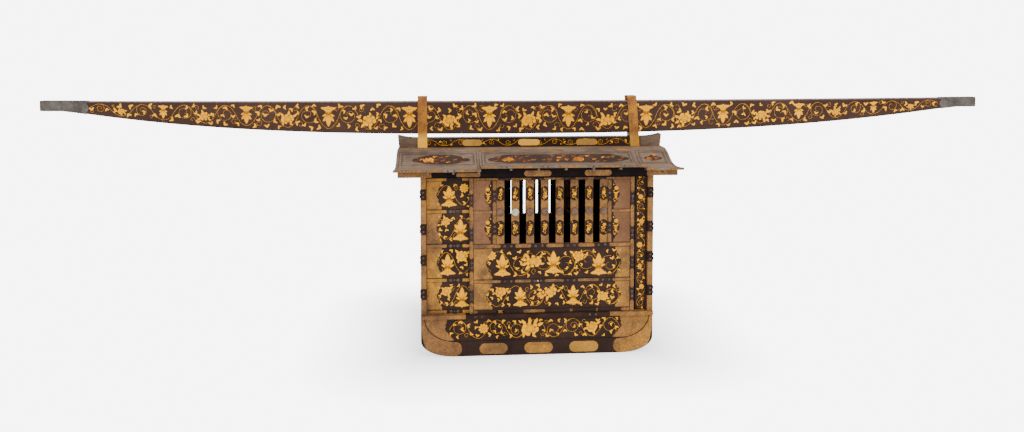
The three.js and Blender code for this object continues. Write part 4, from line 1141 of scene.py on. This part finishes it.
# the slats carry tablets above and below a domed boss; thin dark boards close the rear window's gaps a little
def makeSlats(name, seed, vines):
    tablets, bosses, pale, liners = [Relief() for _ in range(4)]
    z = np.linspace(door["windowBottom"] + 1, door["windowTop"] - 1, 5)
    for k in range(door["slats"]):
        x = door["slatFirst"] + k * door["slatPitch"] + door["slatWidth"] / 2
        rng = np.random.default_rng(seed + 40 + k)
        for z0, z1 in door["slatRows"]:
            addSlatTablet(tablets, vines, rng, x, z0, z1)
        boss = pale if k == 1 and name == "front" else bosses
        boss.knobs(x, door["bossZ"], door["bossRadius"], dome, 20)
        left = max(x - door["linerHalf"], door["windowLeft"] + 0.6)
        right = min(x + door["linerHalf"], door["windowRight"] - 0.6)
        liners.plate(pair(left, z), pair(right, z), 0.3, low=-1.2, rim=1.0)
    body = f"{name}_door"
    if name == "rear":
        makePiece(f"{name}_slat_liners", liners, lambda u, v, h: (u, door["linerFace"] - h, v), "black", body)
    makePiece(f"{name}_slat_tablets", tablets, faceAt("slatFace"), "black", body)
    makePiece(f"{name}_slat_bosses", bosses, faceAt("slatFace"), "boss", body)
    makePiece(f"{name}_slat_boss_pale", pale, faceAt("slatFace"), "verdigris", body)


for name, seed in (("front", 101), ("rear", 151)):
    vines = Relief()
    makeDoorFrame(name)
    makeDoorBoards(name, seed, vines)
    makeSlats(name, seed, vines)
    makePiece(f"{name}_door_vines", vines, faceAt("doorBoard"), "makie", f"{name}_door")
print("doors ready:", total)


roof = {
    "run": 497.0, "crown": 950.0, "drop": 63.0, "steps": 26, "hingeRun": 155.5, "hingeZ": 944.454, "raise": 2.7,
    "shape": (
        (0, 0.03), (0.2, 0), (0.3, 0.09), (0.385, 0.29), (0.47, 0.61), (0.555, 0.86), (0.7, 1), (0.86, 0.95), (1, 0.825)),
    "footLine": (-676.0, 670.0, 62.0), "footV": -112.0,
    # for the fixed roof and the flap: where the fields lie along it, and from where to where across it
    "fields": {
        "roof": (((-668.0, -287.0), (515.0, 668.0)), -292.0, -184.0, -478.0, -166.0),
        "flap": (((-262.0, 490.0),), -302.0, -190.0, -474.0, -178.0),
    },
    "hinges": (-226.0, 113.75, 453.5), "leaves": {"roof": (-154.0, -144.0), "flap": (-166.6, -157.0)},
    "eaveMounts": {
        "roof": ((-681, -449), (-381, -277), (504, 560), (600, 681)),
        "flap": ((-272, -205), (-132, -35), (82, 188), (286, 372), (446, 500)),
    },
    "eaveStuds": {"roof": (-430, -400), "flap": (-180, -157, 12, 35, 225, 250, 398, 420)},
}


# the roof's top line: a uniform Catmull-Rom curve through the shape's points
def roofLine():
    p = np.array(roof["shape"], float) * (roof["run"], -roof["drop"]) + (0, roof["crown"])
    t = np.linspace(0, len(p) - 1, roof["steps"] + 1)
    i = np.minimum(t.astype(int), len(p) - 2)
    w = (t - i)[:, None]
    a, b, c, d = p[np.maximum(i - 1, 0)], p[i], p[i + 1], p[np.minimum(i + 2, len(p) - 1)]
    v0, v1 = (c - a) / 2, (d - b) / 2
    return (2 * b - 2 * c + v0 + v1) * w ** 3 + (-3 * b + 3 * c - 2 * v0 - v1) * w ** 2 + v0 * w + b


roofRuns, roofHeights = roofLine().T


def roofHeight(run):
    return np.interp(run, roofRuns, roofHeights)


# u along the roof, v the place across it (negative to the front), h along the surface's normal
def roofTop(u, v, h):
    run = np.abs(v)
    slope = (roofHeight(run + 4) - roofHeight(run - 4)) / 8
    size = np.sqrt(1 + slope ** 2)
    return u, v - np.sign(v) * slope * h / size, roofHeight(run) + h / size


# the closed flap lies a little proud: its points are turned about the hinge by the angle that it is raised
def raised(x, y, z):
    dy, dz = y + roof["hingeRun"], z - roof["hingeZ"]
    c, s = math.cos(-math.radians(roof["raise"])), math.sin(-math.radians(roof["raise"]))
    return x, -roof["hingeRun"] + dy * c - dz * s, roof["hingeZ"] + dy * s + dz * c


def eaveFace(u, v, h):
    return u, -roof["run"] - 0.3 * h, v


def onFlap(surface):
    return lambda u, v, h: raised(*surface(u, v, h))


def densePath(a, b, step=12.0):
    a, b = np.asarray(a, float), np.asarray(b, float)
    count = max(2, int(np.linalg.norm(b - a) / step) + 1)
    return np.concatenate([a + (b - a) * np.linspace(0, 1, count)[:-1, None], [b]])


# a frame of four mitred bands
def addFrame(relief, u0, u1, v0, v1, width, high):
    corners = ((u0, v0), (u1, v0), (u1, v1), (u0, v1), (u0, v0))
    for a, b in zip(corners, corners[1:]):
        relief.ribbons(densePath(a, b), width, high, low=-0.5)


# a long cartouche: its half height follows the cusped ends
def addCartouche(relief, u0, u1, v0, v1, high=0.4):
    long, tall = u1 - u0, (v1 - v0) / 2
    s = np.linspace(0, 1, 81)
    end = np.minimum(s, 1 - s) * long / (1.5 * tall)
    lobe = lambda start, wide: np.sqrt(np.clip((end - start) / wide, 0, 1))
    swell = 0.12 + 0.30 * lobe(0, 0.45) + 0.34 * lobe(0.45, 0.5) + 0.24 * lobe(0.95, 0.5)
    reach = tall * np.minimum(swell, 1)
    u, middle = u0 + s * long, (v0 + v1) / 2
    relief.plate(pair(u, middle - reach), pair(u, middle + reach), high, across=np.linspace(0, 1, 9), rim=0.5)


# the cartouche of one field: a peony or more between red spirals, and scattered gold and red leaves
def addField(grounds, gold, red, rng, c0, c1, v0, v1):
    middle = (v0 + v1) / 2 - 2
    addCartouche(grounds, c0, c1, v0 + 13, v1 - 11)
    count = max(1, round((c1 - c0) / 330))
    small = 0.5 if c1 - c0 < 160 else 1.0
    for k in range(count):
        at = c0 + (c1 - c0) * (k + 0.28) / count
        addPeony(gold, rng, at, middle, 56 * small, 0.0, 1.45, 5)
        for way in (-1, 1):
            start = rng.uniform(0, tau)
            red.ribbons(spiral(at + way * 64 * small, middle + 4, 20 * small, start, way * 1.1, 0.3), 2.4, 0.8)
    spots = pair(rng.uniform(c0 + 34, c1 - 26, 90), rng.uniform(v0 + 26, v1 - 24, 90))
    kept = spacedOut(spots, 25)
    golden = rng.uniform(0, 1, len(kept)) < 0.24
    for relief, chosen in ((gold, kept[golden]), (red, kept[~golden])):
        count = len(chosen)
        if count:
            u, v = chosen.T
            relief.stamps(leaf, u, v, rng.uniform(0, tau, count), rng.uniform(16, 27, count), 0.7, 1.1)
            relief.stamps(twin, u + 10, v + 5, rng.uniform(0, tau, count), 15.0, 0.7, 1.0)


def makeRoofSide(name, seed):
    rng = np.random.default_rng(seed)
    parts = (("roof", "carriage", roofTop, eaveFace), ("flap", f"{name}_flap", onFlap(roofTop), onFlap(eaveFace)))
    for part, body, surface, eave in parts:
        rims, grounds, gold, red = [Relief() for _ in range(4)]
        ranges, v0, v1, low, top = roof["fields"][part]
        for u0, u1 in ranges:
            addFrame(rims, u0, u1, low, top, 6.0, 0.9)
            addFrame(rims, u0 + 14, u1 - 14, v0, v1, 7.0, 1.0)
            addFrame(rims, u0 + 20, u1 - 20, v0 + 7, v1 - 6, 1.8, 0.6)
            inset = (66, 34) if part == "roof" and u0 < 0 else (30, 20) if u1 - u0 > 200 else (34, 30)
            addField(grounds, gold, red, rng, u0 + inset[0], u1 - inset[1], v0, v1)
        makePiece(f"{name}_{part}_borders", rims, surface, "roofRim", body)
        makePiece(f"{name}_{part}_cartouches", grounds, surface, "cartouche", body)
        makePiece(f"{name}_{part}_blossoms", gold, surface, "makieFaded", body)
        makePiece(f"{name}_{part}_leaves", red, surface, "makieRed", body)

        # gilt leaves on the hinges, and gilt along the eave's edge with dark spans between
        hinges, mounts, studs = Relief(), Relief(), Relief()
        for middle in roof["hinges"]:
            u = np.linspace(middle - 38, middle + 38, 7)
            near, far = roof["leaves"][part]
            hinges.plate(pair(u, near), pair(u, far), 2.1, low=1.2, rim=0.85)
        makePiece(f"{name}_{part}_hinge_leaves", hinges, surface, "gilt", body)
        edge = roofHeight(roof["run"])
        for u0, u1 in roof["eaveMounts"][part]:
            ends = {"left": u0 > -270 or part == "flap", "right": u1 < 660}
            tablet(mounts, u0, u1, edge - 11.2, edge - 0.8, 0.5, pointed=0.4, **ends)
        studs.knobs(roof["eaveStuds"][part], edge - 6, 5.0, stud)
        makePiece(f"{name}_{part}_eave_mounts", mounts, eave, "giltDull", body)
        makePiece(f"{name}_{part}_eave_studs", studs, eave, "knob", body)

    # a worn red and gold line along the ridge's foot
    line = Relief()
    for u0 in np.arange(*roof["footLine"]):
        u1 = u0 + rng.uniform(44, 60)
        line.ribbons(densePath((u0, roof["footV"]), (u1, roof["footV"])), 7.0, 0.5)
    makePiece(f"{name}_ridge_foot_line", line, roofTop, "makieFaded")


ridge = {
    "face": -33.7, "middle": 973.5, "half": 19.5, "vines": (-566.0, 568.0),
    "ovals": ((-354, -252), (-66, 46), (236, 346)), "ovalRows": (956.0, 988.0),
    "scroll": {"bay": 4.2, "gap": 44.0, "leafSize": 17.0, "vine": 1.3, "fill": 0.8},
}


def makeRidge(name, seed):
    vines, ovals = Relief(), Relief()
    scrollBand(vines, seed, ridge["vines"], ridge["half"], [], **ridge["scroll"])
    onRidge = lambda u, v, h: (u, ridge["face"] - h * 0.3, v + ridge["middle"])
    makePiece(f"{name}_ridge_vines", vines, onRidge, "makie")
    for u0, u1 in ridge["ovals"]:
        tablet(ovals, u0, u1, *ridge["ovalRows"], 1.0, pointed=0.15)
    makePiece(f"{name}_ridge_ovals", ovals, lambda u, v, h: (u, ridge["face"] - h * 0.4, v), "giltOval")


for name, seed in (("front", 201), ("rear", 231)):
    makeRoofSide(name, seed)
    makeRidge(name, seed + 7)
print("roof ready:", total)


# the two ends: plainer, with a sprig in each panel and a short scroll on the base board
end = {
    "wallFace": 553.25, "wallPanel": 548.25, "boardFace": 557.0, "roofFace": 682.0,
    # each column: its outer edge and the way inwards
    "columns": ((-343.0, 1), (343.0, -1)), "sprig": 205.0, "plate": 62.0,
    "sleeves": ((-365, -300), (-60, 60), (300, 365)), "balls": (-240.0, -210.0, 210.0, 240.0),
    "board": (-300.0, 300.0), "boardMiddle": 118.0, "boardHalf": 40.0,
    "blossoms": [("peony", -150, 0, 58), ("peony", 150, 0, 58), ("round", 0, 0, 44)],
    "caps": (378.0, 322.0, 70.0, 166.0), "gableHalf": 492.0, "cusp": 22.0, "ballRadius": 6.4,
    "scroll": {"bay": 1.8, "gap": 24.0, "leafSize": 18.0},
}


def endFace(place, lift=0.0):
    return lambda u, v, h: (end[place] + h, u, v + lift)


def makeEnd(name, seed):
    plates, vines, sleeves, studs, band, caps, gable = [Relief() for _ in range(7)]
    rng = np.random.default_rng(seed)
    for row, (z0, z1) in enumerate(wall["rows"]):
        middle = (z0 + z1) / 2
        for column, (outer, inwards) in enumerate(end["columns"]):
            cuspedPlate(plates, outer, outer + inwards * end["plate"], z0 + 1, z1 - 1, end["cusp"])
            at = outer + inwards * end["sprig"]
            if (row + column) % 2:
                addPeony(vines, rng, at, middle, 76, 0.2, 1.25)
            else:
                addBell(vines, rng, at, middle, 92, math.pi)
            for way in (-1, 1):
                path = spiral(at + way * 68, middle + way * 10, 40, math.pi / 2 * (1 - way), way * 1.4)
                vines.ribbons(path, np.linspace(2.0, 1.2, len(path)), 0.6)
            u, v = at + rng.uniform(-115, 105, 24), middle + rng.uniform(-52, 52, 24)
            far = (np.abs(u - at) > 58) | (np.abs(v - middle) > 50)
            vines.stamps(twin, u[far], v[far], rng.uniform(0, tau, far.sum()), 18.0, 0.6, 0.9)
    for z0, z1 in side["rails"]:
        top = min(z1 - 1, side["top"])
        for y0, y1 in end["sleeves"]:
            tablet(sleeves, y0, y1, z0 + 1, top, left=y0 > -365, right=y1 < 365)
        studs.knobs(end["balls"], (z0 + top) / 2, end["ballRadius"], ball)
    makePiece(f"{name}_end_plates", plates, endFace("wallPanel"), "gilt")
    makePiece(f"{name}_end_vines", vines, endFace("wallPanel"), "makie")
    makePiece(f"{name}_end_sleeves", sleeves, endFace("wallFace"), "gilt")
    makePiece(f"{name}_end_knobs", studs, endFace("wallFace"), "knob")

    scrollBand(band, seed + 3, end["board"], end["boardHalf"], end["blossoms"], **end["scroll"])
    makePiece(f"{name}_end_board_vines", band, endFace("boardFace", end["boardMiddle"]), "makie")
    straight, cusped, low, top = end["caps"]
    for way in (-1, 1):
        cuspedPlate(caps, way * straight, way * cusped, low, top, 14.0)
    makePiece(f"{name}_end_board_plates", caps, endFace("boardFace"), "gilt")
    y = np.linspace(-end["gableHalf"], end["gableHalf"], 83)
    gable.ribbons(pair(y, roofHeight(np.abs(y)) - 6.0), 9.5, 0.6)
    makePiece(f"{name}_gable_band", gable, endFace("roofFace"), "giltDull")


for name, seed in (("right", 301), ("left", 331)):
    makeEnd(name, seed)
print("ends ready:", total)

# each node of the frame gets its finish: the longest key that its name starts with, without its side
for name, node in nodes.items():
    plain = name.removeprefix("front_").removeprefix("rear_")
    if name.endswith(("_end_wall", "_end_sill", "_end_board")):
        plain = name.split("_", 1)[1]
    found = max((key for key in nodeFinish if plain.startswith(key)), key=len)
    if not node.material_slots:
        node.data.materials.append(mats[nodeFinish[found]])
    for slotOfNode in node.material_slots:
        slotOfNode.material = mats[nodeFinish[found]]

print("pieces and triangles:", total)
